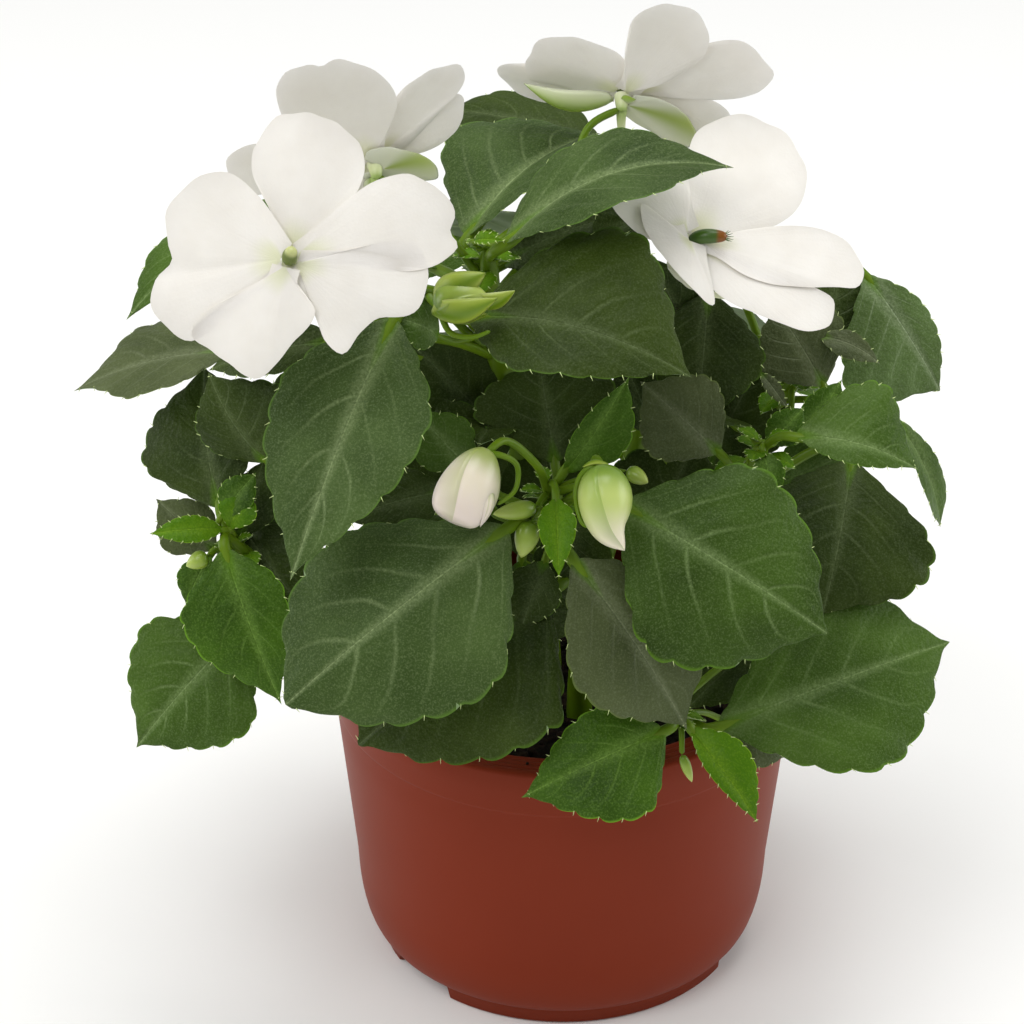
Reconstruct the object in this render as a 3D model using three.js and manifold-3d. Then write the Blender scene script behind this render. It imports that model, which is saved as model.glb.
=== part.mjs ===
// A white busy lizzie growing in a 12 cm nursery pot. Millimetres, +Z up.
// The origin is the centre of the pot's flat underside, and -Y is the front of the plant.
import * as THREE from "three";
import { mergeVertices } from "three/addons/utils/BufferGeometryUtils.js";
import Module from "manifold-3d";

const wasm = await Module();
wasm.setup();

// ---------------------------------------------------------------- driving dimensions
const GAP = 0.3; // clearance between pieces that touch

const POT_RIM_RADIUS = 60;
const POT_HEIGHT = 85;
const POT_WALL = 1.3;
const POT_SIDES = 40;
const FOOT_RADIUS = 48;
const FOOT_HEIGHT = 3.5;
const SHOULDER_RADIUS = 53.9; // outside of the wall where it turns in to the foot
const SHOULDER_HEIGHT = 24;
const BAND_DEPTH = 13; // the rim band reaches this far down from the rim
const BAND_STEP = 0.4;
const LIP_WIDTH = 8;
const LIP_THICKNESS = 2.2;
const FOOT_GAPS = [-146, -5, 104.5]; // bearings of the gaps in the foot, anticlockwise from +X, in degrees
const FOOT_GAP_SPAN = 32;
const FOOT_GAP_DEPTH = 16;
const DRAIN_HOLE_RADIUS = 3.2;

const SOIL_TOP = 72;
const SOIL_RISE = 1.5; // the compost is this much higher in the middle

const PETIOLE_RADIUS = 1.15;
const BLADE_THICKNESS = 0.9;
const PETAL_THICKNESS = 0.7;
const PETAL_LAYER = 1.2; // the dorsal petal lies this far behind one pair, and the other pair before it
const PEDICEL_RADIUS = 1.0;
const SPUR_RADIUS = 0.8;
const THROAT_RADIUS = 1.8; // the petals start this far from the flower's centre
const CLAW_WIDTH = 2.4; // width of a petal where it starts
const BLADE_POINTS = 8; // round each section of a blade
const TUBE_POINTS = 6; // round each section of a thin stalk or spur
const SHOOT_POINTS = 8;
const BLADE_STATIONS = 7; // along a large leaf
const SMALL_STATIONS = 6; // along a petal, bud or young leaf
const PETIOLE_STATIONS = 3;

const LEAF_GREEN = 0x35541f;
const STEM_GREEN = 0x6f9a34;
const PETAL_WHITE = 0xf4f1ea;
const BUD_WHITE = 0xe2e2c0;
const POT_BROWN = 0x8a4230;
const COMPOST = 0x1d1612;

// ---------------------------------------------------------------- where things grow
// Each shoot: its bends from just above the compost up to its tip, with its radius at the root
// and the tip. Its root stands straight below the first bend.
const SHOOTS = {
  top: { points: [[-4, 4, 79], [-7, 0, 110], [-12, -10, 150], [-17, -18, 182], [-19, -25, 210]], radii: [3.6, 2.2] },
  left: { points: [[-16, -4, 79], [-38, -16, 94], [-64, -32, 118], [-80, -42, 140]], radii: [3.2, 1.9] },
  front: { points: [[4, -14, 79], [4, -24, 105], [-1, -36, 135], [-5, -43, 156]], radii: [3.4, 2.0] },
  right: { points: [[16, 0, 79], [24, -10, 105], [36, -22, 135], [47, -33, 162]], radii: [3.4, 1.9] },
  low: { points: [[16, -24, 78], [22, -42, 92], [25, -54, 100], [27, -65, 104]], radii: [2.8, 1.7] },
  far_right: { points: [[12, 12, 79], [30, 14, 110], [46, 8, 140], [58, 1, 163]], radii: [3.2, 1.8] },
  back_left: { points: [[-14, 14, 79], [-34, 34, 110], [-46, 46, 150], [-50, 50, 184]], radii: [3.4, 1.9] },
  back_right: { points: [[6, 20, 79], [18, 42, 115], [28, 54, 155], [30, 56, 190]], radii: [3.4, 1.9] },
};

// Each leaf: the shoot it grows on and how far up, then its blade from base to tip, the blade's
// width, the way its upper side faces, how far it arches, and the slope of its two halves.
const LEAVES = [
  leaf("leaf_top_big", "top", 0.84, [-23, -46, 202], [27, -62, 195], 43, [0, -0.55, 0.83], 9, 0.1),
  leaf("leaf_top_long", "top", 0.97, [-15, -34, 215], [33, -28, 231], 34, [-0.25, -0.15, 0.95], 9, 0.2),
  leaf("leaf_top_folded", "top", 0.91, [-24, -18, 209], [8, 12, 222], 30, [-0.5, -0.3, 0.8], 5, 0.35),
  leaf("leaf_top_back", "top", 0.88, [5, 20, 214], [-31, 40, 217], 32, [0, -0.2, 0.98], 4, 0.1),
  leaf("leaf_left_big", "top", 0.78, [-41, -50, 200], [-63, -86, 156], 37, [-0.15, -0.75, 0.64], 4, 0.1),
  leaf("leaf_far_left", "top", 0.7, [-79, -24, 182], [-118, -22, 170], 34, [-0.2, -0.1, 0.97], 3, 0.12),
  leaf("leaf_left_up", "left", 0.97, [-83, -38, 147], [-87, -16, 174], 30, [-0.4, -0.8, 0.4], 3, 0.1),
  leaf("leaf_left_dark", "top", 0.45, [-71, -41, 161], [-84, -37, 183], 30, [-0.45, -0.8, 0.35], 3, 0.1),
  leaf("leaf_front_left_big", "front", 0.85, [-14, -62, 156], [-65, -88, 124], 57, [-0.15, -0.8, 0.6], 6, -0.2),
  leaf("leaf_front_under", "front", 0.55, [-5, -56, 134], [-47, -70, 94], 46, [-0.05, -0.75, 0.65], 5, 0.1),
  leaf("leaf_front_grey", "front", 0.7, [1, -65, 149], [28, -71, 106], 40, [0, -0.6, 0.8], 4, 0.1),
  leaf("leaf_front_right_big", "front", 0.9, [12, -60, 161], [60, -70, 132], 52, [0.05, -0.8, 0.6], 5, -0.06),
  leaf("leaf_right_low", "low", 0.78, [36, -60, 101], [92, -34, 108], 46, [0.1, -0.7, 0.7], 5, 0.1),
  leaf("leaf_right_dark", "right", 0.72, [69, -12, 144], [61, -40, 122], 44, [0.1, -0.9, 0.4], 3, 0.1),
  leaf("leaf_right_bright", "right", 0.96, [53, -40, 168], [82, -44, 161], 26, [0.1, -0.6, 0.8], 5, 0.1),
  leaf("leaf_far_right_up", "far_right", 0.94, [72, 4, 155], [74, 24, 184], 34, [0.1, -0.9, 0.4], 3, 0.1),
  leaf("leaf_far_right_out", "far_right", 0.8, [70, 16, 164], [95, 16, 153], 33, [0.3, -0.8, 0.5], 3, 0.1),
  leaf("leaf_right_edge", "far_right", 0.7, [79, -8, 157], [92, -4, 122], 22, [0.9, -0.2, 0.3], 3, 0.3),
  leaf("leaf_right_grey", "far_right", 0.88, [63, -6, 163], [50, 4, 181], 25, [0, -0.8, 0.6], 3, 0.1),
  leaf("leaf_centre_dark", "right", 0.6, [28, -8, 184], [42, -26, 160], 42, [0, -0.8, 0.6], 3, 0.1),
  leaf("leaf_centre_back", "front", 0.8, [-3, -34, 157], [-7, -14, 176], 36, [0, -0.8, 0.6], 3, 0.1),
  leaf("leaf_centre_grey", "right", 0.8, [36, -36, 161], [17, -30, 177], 24, [-0.1, -0.8, 0.6], 3, 0.1),
  leaf("leaf_left_heart", "left", 0.9, [-81, -50, 143], [-68, -62, 107], 26, [-0.1, -0.9, 0.4], 3, 0.1),
  leaf("leaf_left_low", "left", 0.6, [-80, -46, 114], [-104, -52, 88], 34, [-0.1, -0.8, 0.6], 4, 0.08),
  leaf("leaf_left_round", "left", 0.62, [-66, -31, 141], [-56, -44, 126], 20, [-0.1, -0.85, 0.5], 3, 0.1),
  leaf("leaf_low_left", "low", 0.94, [23, -70, 105], [-11, -79, 92], 27, [0, -0.75, 0.65], 4, 0.12),
  leaf("leaf_low_right", "low", 0.97, [30, -70, 104], [45, -74, 82], 16, [0.2, -0.8, 0.5], 3, 0.15),
  leaf("leaf_back_left", "back_left", 0.8, [-60, 56, 160], [-88, 74, 132], 46, [-0.5, 0.6, 0.6], 5, 0.1),
  leaf("leaf_back_middle", "back_left", 0.9, [-40, 62, 178], [-24, 92, 146], 46, [0.1, 0.8, 0.6], 5, 0.1),
  leaf("leaf_back_right", "back_right", 0.8, [42, 58, 168], [76, 62, 140], 46, [0.6, 0.5, 0.6], 5, 0.1),
  leaf("leaf_back_low", "back_right", 0.5, [22, 62, 128], [8, 84, 92], 46, [0, 0.8, 0.6], 5, 0.1),
];

// Young leaves belong to their shoot, so each is one solid with it.
const YOUNG_LEAVES = [
  leaf("young", "front", 0.97, [-4, -43, 164], [14, -41, 184], 18, [0.3, -0.85, 0.4], 2, 0.15),
  leaf("young", "left", 0.99, [-83, -46, 145], [-100, -50, 149], 11, [0, -0.7, 0.7], 2, 0.2),
  leaf("young", "left", 0.98, [-78, -46, 146], [-73, -42, 155], 10, [-0.2, -0.9, 0.3], 1, 0.2),
  leaf("young", "back_left", 0.97, [-62, 42, 188], [-104, 6, 178], 26, [-0.3, -0.3, 0.9], 4, 0.2),
  leaf("young", "back_left", 0.95, [-54, 62, 182], [-66, 84, 176], 22, [-0.2, 0.5, 0.8], 3, 0.15),
  leaf("young", "back_right", 0.97, [36, 62, 188], [52, 80, 180], 24, [0.2, 0.5, 0.8], 3, 0.15),
  leaf("young", "back_right", 0.95, [24, 64, 186], [6, 82, 182], 24, [-0.2, 0.5, 0.8], 3, 0.15),
  leaf("young", "right", 0.99, [46, -40, 166], [49, -46, 148], 8, [0, -0.9, 0.4], 1, 0.2),
];

// Each open flower: the centre of its face, the way the face looks and its upright, the shoot
// it hangs on and a bend of its stalk. Petals are [angle, length, width, lift]: anticlockwise
// from the right as the face is seen, in degrees, with lift raising them out of its plane. The
// column is the tip of the stub at the centre, measured in the face's own frame.
const FLOWERS = {
  front_left: {
    centre: [-62, -66, 226], facing: [-0.1, -0.85, 0.5], upright: [0, 0.5, 0.87],
    shoot: "top", at: 0.74, bend: [-42, -40, 212], column: [-1, 2, 5],
    dorsal: [82, 29, 25, -5],
    left: [[183, 27, 38, -1], [256, 25, 27, 6]],
    right: [[324, 27, 32, 1], [13, 35, 26, -4]],
  },
  back_left: {
    centre: [-45, -20, 229], facing: [-0.2, 0.95, 0.2], upright: [0, 0.5, 0.87],
    shoot: "top", at: 0.9, bend: [-32, -26, 218], column: [0, -2, 6],
    dorsal: [61, 29, 31, -5],
    left: [[131, 27, 22, 2], [152, 22, 18, 8]],
    right: [[356, 32, 24, -2], [285, 22, 24, 2]],
  },
  top_right: {
    centre: [13, 8, 234], facing: [0.1, 0.93, 0.3], upright: [0, 0.5, 0.87],
    shoot: "top", at: 0.99, bend: [-5, -22, 228], column: [0, -2, 6],
    dorsal: [124, 29, 22, -5],
    left: [[166, 35, 22, -1], [205, 25, 20, 6]],
    right: [[33, 21, 25, -2], [1, 30, 17, 5]],
  },
  front_right: {
    centre: [28, -30, 214], facing: [0.3, -0.6, 0.74], upright: [0, 0.5, 0.87],
    shoot: "far_right", at: 0.9, bend: [40, 9, 187], column: [7, 0, 5],
    dorsal: [49, 36, 29, -2],
    left: [[150, 20, 22, 0], [226, 16, 28, 8]],
    right: [[326, 36, 21, 6], [350, 40, 21, 0]],
  },
};

// Each bud: its body from base to tip and its width, the curve of its spur, and the shoot and
// the bend of its stalk.
const BUDS = {
  bud_left: {
    base: [-19, -62, 176], tip: [-26, -74, 162], width: 13.5, shoot: "front", at: 0.95,
    bends: [[-14, -56, 175]], spur: [[-17, -64, 172], [-13, -62, 174], [-11, -63, 171], [-13, -67, 166], [-17, -69, 163]],
  },
  bud_right: {
    base: [8, -68, 176], tip: [12, -80, 160], width: 12.5, shoot: "front", at: 0.97,
    bends: [[5, -53, 163], [6, -62, 174]], spur: [[6, -69, 174], [3, -67, 172], [2, -68, 166], [4, -72, 162], [7, -74, 163]],
  },
  bud_top: {
    base: [-31, -52, 208], tip: [-15, -56, 215], width: 12, shoot: "top", at: 0.8,
    bends: [[-32, -38, 203]], spur: [[-29, -54, 206], [-26, -57, 203], [-21, -59, 204], [-17, -60, 207]],
  },
};

/** One row of the leaf tables, with its values named. */
function leaf(name, shoot, at, base, tip, width, facing, arch, slope) {
  return { name, shoot, at, base, tip, width, facing, arch, slope };
}

// ---------------------------------------------------------------- shape helpers
const vec = (values) => new THREE.Vector3(...values);
const DEGREE = Math.PI / 180;

/** Turns a skin's faces outwards: its signed volume tells whether they point in. */
function outward(geometry) {
  const position = geometry.attributes.position;
  const index = geometry.index.array;
  const corner = (i) => new THREE.Vector3().fromBufferAttribute(position, index[i]);
  let volume = 0;
  for (let i = 0; i < index.length; i += 3) {
    volume += corner(i).dot(corner(i + 1).cross(corner(i + 2)));
  }
  if (volume < 0) {
    for (let i = 0; i < index.length; i += 3) {
      [index[i], index[i + 1]] = [index[i + 1], index[i]];
    }
  }
  return geometry;
}

/** Joins rings of equally many points into one closed skin, with a fan over each end. */
function loft(rings) {
  const count = rings[0].length;
  const last = (rings.length - 1) * count;
  const index = [];
  for (let start = 0; start < last; start += count) {
    for (let k = 0; k < count; k++) {
      const a = start + k;
      const b = start + ((k + 1) % count);
      index.push(a, b, b + count, a, b + count, a + count);
    }
  }
  for (let k = 1; k + 1 < count; k++) {
    index.push(0, k + 1, k, last, last + k, last + k + 1);
  }
  const geometry = new THREE.BufferGeometry();
  const positions = rings.flat().flatMap((point) => point.toArray());
  geometry.setAttribute("position", new THREE.Float32BufferAttribute(positions, 3));
  geometry.setIndex(index);
  return outward(geometry);
}

/** An oval section across a path. Its edges are raised by slope times how far out they are. */
function section({ centre, side, up }, halfWidth, halfThickness, count, slope = 0) {
  const ring = [];
  for (let k = 0; k < count; k++) {
    const angle = (2 * Math.PI * k) / count;
    const across = halfWidth * Math.cos(angle);
    const above = halfThickness * Math.sin(angle) + slope * Math.abs(across);
    ring.push(centre.clone().addScaledVector(side, across).addScaledVector(up, above));
  }
  return ring;
}

/** The frame at a place on a curve, with its upper side turned as near to facing as it can be. */
function frameAt(curve, t, facing) {
  const tangent = curve.getTangent(t);
  const side = new THREE.Vector3().crossVectors(tangent, facing).normalize();
  const up = new THREE.Vector3().crossVectors(side, tangent);
  return { centre: curve.getPoint(t), side, up };
}

/** A round tapering tube along a curve through the points. */
function tube(points, startRadius, endRadius, stations, count = TUBE_POINTS) {
  const curve = new THREE.CatmullRomCurve3(points, false, "centripetal");
  const frames = curve.computeFrenetFrames(stations, false);
  const rings = [];
  for (let i = 0; i <= stations; i++) {
    const frame = { centre: curve.getPointAt(i / stations), side: frames.normals[i], up: frames.binormals[i] };
    const radius = THREE.MathUtils.lerp(startRadius, endRadius, i / stations);
    rings.push(section(frame, radius, radius, count));
  }
  return loft(rings);
}

/** Width of an outline along its length, 1 at its widest, for the two powers that shape its ends. */
function outline(u, basePower, tipPower) {
  const widest = basePower / (basePower + tipPower);
  const peak = widest ** basePower * (1 - widest) ** tipPower;
  return (u ** basePower * (1 - u) ** tipPower) / peak;
}

/** Stations that crowd towards both ends, where an outline turns quickest. */
const eased = (i, count) => (1 - Math.cos((Math.PI * i) / count)) / 2;

/** The rings of a blade or petal along its midrib, with the width and thickness where it starts. */
function bladeRings(spec, powers, thickness, start, stations) {
  const base = vec(spec.base);
  const tip = vec(spec.tip);
  const facing = vec(spec.facing).normalize();
  const chord = tip.clone().sub(base);
  const raised = facing.clone().addScaledVector(chord, -facing.dot(chord) / chord.lengthSq()).normalize();
  const middle = base.clone().add(tip).multiplyScalar(0.5).addScaledVector(raised, 2 * spec.arch);
  const midrib = new THREE.QuadraticBezierCurve3(base, middle, tip);
  const rings = [];
  for (let i = 0; i < stations; i++) {
    const u = 0.02 + 0.965 * eased(i, stations - 1);
    const least = u < 0.5 ? start.width / 2 : 0.35;
    const halfWidth = Math.max((spec.width / 2) * outline(u, ...powers), least);
    const halfThickness = THREE.MathUtils.lerp(start.thickness, thickness, Math.min(u / 0.12, 1)) / 2;
    const slope = i === 0 ? 0 : spec.slope;
    rings.push(section(frameAt(midrib, u, facing), halfWidth, halfThickness, BLADE_POINTS, slope));
  }
  return { rings, midrib, facing };
}

const LEAF_POWERS = [0.63, 0.98];
const PETAL_POWERS = [0.8, 0.4];

/** A leaf: its stalk runs from the shoot's side into the blade as one loft. */
function leafGeometry(spec, shoot, clearance, stations) {
  const start = { width: 2 * PETIOLE_RADIUS, thickness: 2 * PETIOLE_RADIUS };
  const { rings, midrib, facing } = bladeRings(spec, LEAF_POWERS, BLADE_THICKNESS, start, stations);
  const root = shoot.curve.getPointAt(spec.at);
  const axis = shoot.curve.getTangentAt(spec.at);
  const base = vec(spec.base);
  const away = base.clone().sub(root);
  away.addScaledVector(axis, -away.dot(axis)).normalize();
  const foot = root.clone().addScaledVector(away, clearance);
  const reach = foot.distanceTo(base) * 0.4;
  const stalk = new THREE.CubicBezierCurve3(
    foot,
    foot.clone().addScaledVector(away, reach),
    base.clone().addScaledVector(midrib.getTangent(0), -reach),
    base,
  );
  const stalkRings = [];
  let side = frameAt(midrib, 0.02, facing).side;
  for (let i = PETIOLE_STATIONS - 1; i >= 0; i--) {
    const t = i / PETIOLE_STATIONS;
    const tangent = stalk.getTangent(t);
    side = side.clone().addScaledVector(tangent, -side.dot(tangent)).normalize();
    const up = new THREE.Vector3().crossVectors(side, tangent);
    const frame = { centre: stalk.getPoint(t), side, up };
    stalkRings.unshift(section(frame, PETIOLE_RADIUS, PETIOLE_RADIUS, BLADE_POINTS));
  }
  return loft([...stalkRings, ...rings]);
}

// ---------------------------------------------------------------- joining and cutting
/** A closed geometry as a solid that can be joined and cut. */
function solid(geometry) {
  const bare = geometry.clone();
  bare.deleteAttribute("normal");
  bare.deleteAttribute("uv");
  const merged = mergeVertices(bare, 1e-4);
  const vertProperties = new Float32Array(merged.attributes.position.array);
  const triVerts = new Uint32Array(merged.index.array);
  return new wasm.Manifold(new wasm.Mesh({ numProp: 3, vertProperties, triVerts }));
}

/** The geometry of a solid. */
function skin(body) {
  const mesh = body.getMesh();
  const geometry = new THREE.BufferGeometry();
  geometry.setAttribute("position", new THREE.BufferAttribute(mesh.vertProperties, 3));
  geometry.setIndex(new THREE.BufferAttribute(mesh.triVerts, 1));
  return geometry;
}

const joined = (geometries) => skin(geometries.map(solid).reduce((a, b) => a.add(b)));

// ---------------------------------------------------------------- pot and compost
const wallRadius = (height) =>
  SHOULDER_RADIUS +
  ((POT_RIM_RADIUS - SHOULDER_RADIUS) * (height - SHOULDER_HEIGHT)) / (POT_HEIGHT - SHOULDER_HEIGHT);

/** A shape turned round the pot's axis from its radius and height pairs. */
function turned(profile) {
  const points = profile.map(([radius, height]) => new THREE.Vector2(radius, height));
  const geometry = new THREE.LatheGeometry(points, POT_SIDES);
  geometry.rotateX(Math.PI / 2);
  return outward(mergeVertices(stripped(geometry), 1e-4));
}

/** A geometry with its positions only. */
function stripped(geometry) {
  geometry.deleteAttribute("normal");
  geometry.deleteAttribute("uv");
  return geometry;
}

/** A block under the base: part of a ring between two radii, grown by a margin all round. */
function footGap(azimuth, margin) {
  const inner = FOOT_RADIUS - FOOT_GAP_DEPTH - margin;
  const outer = FOOT_RADIUS + 20;
  const grow = margin / inner;
  const from = (azimuth - FOOT_GAP_SPAN / 2) * DEGREE - grow;
  const to = (azimuth + FOOT_GAP_SPAN / 2) * DEGREE + grow;
  const shape = new THREE.Shape();
  shape.absarc(0, 0, outer, from, to, false);
  shape.absarc(0, 0, inner, to, from, true);
  const block = new THREE.ExtrudeGeometry(shape, {
    depth: FOOT_HEIGHT + margin + 1,
    bevelEnabled: false,
    curveSegments: 6,
  });
  block.translate(0, 0, -1);
  return outward(mergeVertices(stripped(block), 1e-4));
}

function drainHole(azimuth) {
  const hole = new THREE.CylinderGeometry(DRAIN_HOLE_RADIUS, DRAIN_HOLE_RADIUS, 12, 12);
  const reach = FOOT_RADIUS - FOOT_GAP_DEPTH / 2;
  hole.rotateX(Math.PI / 2);
  hole.translate(reach * Math.cos(azimuth * DEGREE), reach * Math.sin(azimuth * DEGREE), FOOT_HEIGHT);
  return hole;
}

function potGeometry() {
  const bandFoot = POT_HEIGHT - BAND_DEPTH;
  const lipRadius = POT_RIM_RADIUS - LIP_WIDTH;
  const outside = turned([
    [0, 0],
    [FOOT_RADIUS, 0],
    [FOOT_RADIUS, FOOT_HEIGHT],
    [FOOT_RADIUS + 2, FOOT_HEIGHT + 1],
    [SHOULDER_RADIUS - 1.6, SHOULDER_HEIGHT / 2.4],
    [SHOULDER_RADIUS - 0.5, SHOULDER_HEIGHT / 1.5],
    [SHOULDER_RADIUS, SHOULDER_HEIGHT],
    [wallRadius(bandFoot) - BAND_STEP, bandFoot],
    [wallRadius(bandFoot), bandFoot + BAND_STEP],
    [POT_RIM_RADIUS, POT_HEIGHT - 1],
    [POT_RIM_RADIUS - 0.8, POT_HEIGHT],
    [0, POT_HEIGHT],
  ]);
  const inside = turned([
    [0, POT_WALL],
    [FOOT_RADIUS - POT_WALL, POT_WALL],
    [FOOT_RADIUS - POT_WALL, FOOT_HEIGHT + POT_WALL],
    [SHOULDER_RADIUS - 1.6 - POT_WALL, SHOULDER_HEIGHT / 2.4 + 0.4],
    [SHOULDER_RADIUS - POT_WALL, SHOULDER_HEIGHT],
    [wallRadius(POT_HEIGHT) - POT_WALL - 1, POT_HEIGHT - LIP_THICKNESS - 3],
    [lipRadius, POT_HEIGHT - LIP_THICKNESS],
    [lipRadius, POT_HEIGHT + 1],
    [0, POT_HEIGHT + 1],
  ]);
  let shell = solid(outside);
  let hollow = solid(inside);
  for (const azimuth of FOOT_GAPS) {
    shell = shell.subtract(solid(footGap(azimuth, 0)));
    hollow = hollow.subtract(solid(footGap(azimuth, POT_WALL)));
  }
  shell = shell.subtract(hollow);
  for (const azimuth of FOOT_GAPS) {
    shell = shell.subtract(solid(drainHole(azimuth)));
  }
  return skin(shell);
}

function soilGeometry() {
  const floor = FOOT_HEIGHT + POT_WALL + GAP;
  const radiusAt = (height) => wallRadius(height) - POT_WALL - GAP - 0.2;
  return turned([
    [0, floor],
    [FOOT_RADIUS - POT_WALL - GAP, floor],
    [SHOULDER_RADIUS - POT_WALL - 2.4, SHOULDER_HEIGHT / 2],
    [radiusAt(SHOULDER_HEIGHT) - 0.3, SHOULDER_HEIGHT],
    [radiusAt(SOIL_TOP) - 1.2, SOIL_TOP - SOIL_RISE],
    [20, SOIL_TOP],
    [0, SOIL_TOP],
  ]);
}

// ---------------------------------------------------------------- shoots and leaves
const shoots = {};
for (const [name, { points, radii }] of Object.entries(SHOOTS)) {
  const bends = points.map(vec);
  const path = [bends[0].clone().setZ(SOIL_TOP + GAP), ...bends];
  const curve = new THREE.CatmullRomCurve3(path, false, "centripetal");
  shoots[name] = { name, curve, path, radii };
}

const radiusOf = (shoot, at) => THREE.MathUtils.lerp(...shoot.radii, at);

function shootGeometry(shoot) {
  const stem = tube(shoot.path, ...shoot.radii, 8, SHOOT_POINTS);
  const young = YOUNG_LEAVES.filter((spec) => spec.shoot === shoot.name);
  return joined([stem, ...young.map((spec) => leafGeometry(spec, shoot, 0, SMALL_STATIONS))]);
}

// ---------------------------------------------------------------- flowers and buds
/** A stalk's path from the side of its shoot through its bends to its end. */
function stalkPath(shootName, at, bends, end) {
  const shoot = shoots[shootName];
  const root = shoot.curve.getPointAt(at);
  const axis = shoot.curve.getTangentAt(at);
  const away = vec(bends[0]).sub(root);
  away.addScaledVector(axis, -away.dot(axis)).normalize();
  const clear = radiusOf(shoot, at) + GAP + 0.2;
  const start = root.clone().addScaledVector(away, clear);
  return [start, start.clone().addScaledVector(away, 2), ...bends.map(vec), end];
}

/** The frame of a flower's face: z looks out of it and y is its upright. */
function flowerFrame({ centre, facing, upright }) {
  const z = vec(facing).normalize();
  const y = vec(upright).addScaledVector(z, -vec(upright).dot(z)).normalize();
  const x = new THREE.Vector3().crossVectors(y, z);
  return new THREE.Matrix4().makeBasis(x, y, z).setPosition(vec(centre));
}

/** The petals of one piece: a single one, or a pair that starts from one shared claw. */
function petalsGeometry(petals, layer) {
  const out = petals.map(([angle]) => new THREE.Vector3(Math.cos(angle * DEGREE), Math.sin(angle * DEGREE), 0));
  const claw = new THREE.Vector3();
  out.forEach((direction) => claw.add(direction));
  claw.setLength(THROAT_RADIUS).setZ(layer);
  const start = { width: CLAW_WIDTH, thickness: PETAL_THICKNESS };
  const skins = petals.map(([, length, width, lift], i) => {
    const tip = out[i].clone().multiplyScalar(THROAT_RADIUS + length * Math.cos(lift * DEGREE));
    tip.z = layer + length * Math.sin(lift * DEGREE);
    const spec = { base: claw.toArray(), tip: tip.toArray(), width, facing: [0, 0, 1], arch: 1, slope: 0 };
    return loft(bladeRings(spec, PETAL_POWERS, PETAL_THICKNESS, start, SMALL_STATIONS).rings);
  });
  return joined(skins);
}

function flowerStalkGeometry(flower, frame) {
  const place = (x, y, z) => new THREE.Vector3(x, y, z).applyMatrix4(frame);
  const back = place(0, -1, -4);
  const pedicel = tube(
    stalkPath(flower.shoot, flower.at, [flower.bend], back),
    PEDICEL_RADIUS,
    PEDICEL_RADIUS,
    7,
  );
  const throat = tube([place(0, -1.6, -5), place(0, -0.6, -3), place(0, 0, -1)], 1.2, 1.9, 2);
  const column = tube([place(0, 0, -2), place(0, 0, 1.5), place(...flower.column)], 1.6, 2.1, 3);
  const spur = tube(
    [place(0, -1, -4), place(-1, -8, -7), place(-3, -17, -7), place(-6, -24, -4)],
    SPUR_RADIUS,
    SPUR_RADIUS * 0.7,
    6,
  );
  return joined([pedicel, throat, column, spur]);
}

const BUD_POWERS = [0.5, 0.75];

function budGeometry(bud) {
  const base = vec(bud.base);
  const axis = vec(bud.tip).sub(base);
  const midrib = new THREE.LineCurve3(base, vec(bud.tip));
  const facing = new THREE.Vector3(0, -axis.z, axis.y);
  const rings = [];
  for (let i = 0; i < BLADE_STATIONS; i++) {
    const u = 0.01 + 0.98 * eased(i, BLADE_STATIONS - 1);
    const radius = Math.max((bud.width / 2) * outline(u, ...BUD_POWERS), 0.5);
    rings.push(section(frameAt(midrib, u, facing), radius, radius, BLADE_POINTS));
  }
  const inside = base.clone().addScaledVector(axis, 0.15);
  const stalk = tube(stalkPath(bud.shoot, bud.at, bud.bends, inside), PEDICEL_RADIUS, PEDICEL_RADIUS, 6);
  const spur = tube([inside, ...bud.spur.map(vec)], SPUR_RADIUS, SPUR_RADIUS * 0.7, 9);
  return joined([loft(rings), stalk, spur]);
}

// ---------------------------------------------------------------- assembly
const plant = new THREE.Group();

function add(name, geometry, color, roughness = 0.6) {
  const material = new THREE.MeshStandardMaterial({ color, roughness, metalness: 0 });
  const mesh = new THREE.Mesh(geometry, material);
  mesh.name = name;
  plant.add(mesh);
  return mesh;
}

add("pot", potGeometry(), POT_BROWN, 0.55);
add("soil", soilGeometry(), COMPOST, 0.95);
for (const shoot of Object.values(shoots)) {
  add(`shoot_${shoot.name}`, shootGeometry(shoot), STEM_GREEN);
}
for (const spec of LEAVES) {
  const shoot = shoots[spec.shoot];
  const geometry = leafGeometry(spec, shoot, radiusOf(shoot, spec.at) + GAP, BLADE_STATIONS);
  add(spec.name, geometry, LEAF_GREEN);
}
for (const [name, flower] of Object.entries(FLOWERS)) {
  const frame = flowerFrame(flower);
  add(`flower_${name}_stalk`, flowerStalkGeometry(flower, frame), STEM_GREEN);
  const petals = {
    dorsal: petalsGeometry([flower.dorsal], -PETAL_LAYER),
    left_pair: petalsGeometry(flower.left, PETAL_LAYER),
    right_pair: petalsGeometry(flower.right, 0),
  };
  for (const [part, geometry] of Object.entries(petals)) {
    geometry.applyMatrix4(frame);
    add(`flower_${name}_${part}`, geometry, PETAL_WHITE, 0.7);
  }
}
for (const [name, bud] of Object.entries(BUDS)) {
  add(name, budGeometry(bud), BUD_WHITE, 0.5);
}

export default plant;
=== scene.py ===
"""A white busy lizzie in its nursery pot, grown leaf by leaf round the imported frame.

Lengths are in millimetres until a piece becomes a mesh, which is in metres. +Z is up and -Y is the front.
"""
import math
import random

import bmesh
import bpy
from mathutils import Matrix, Vector, noise


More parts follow.
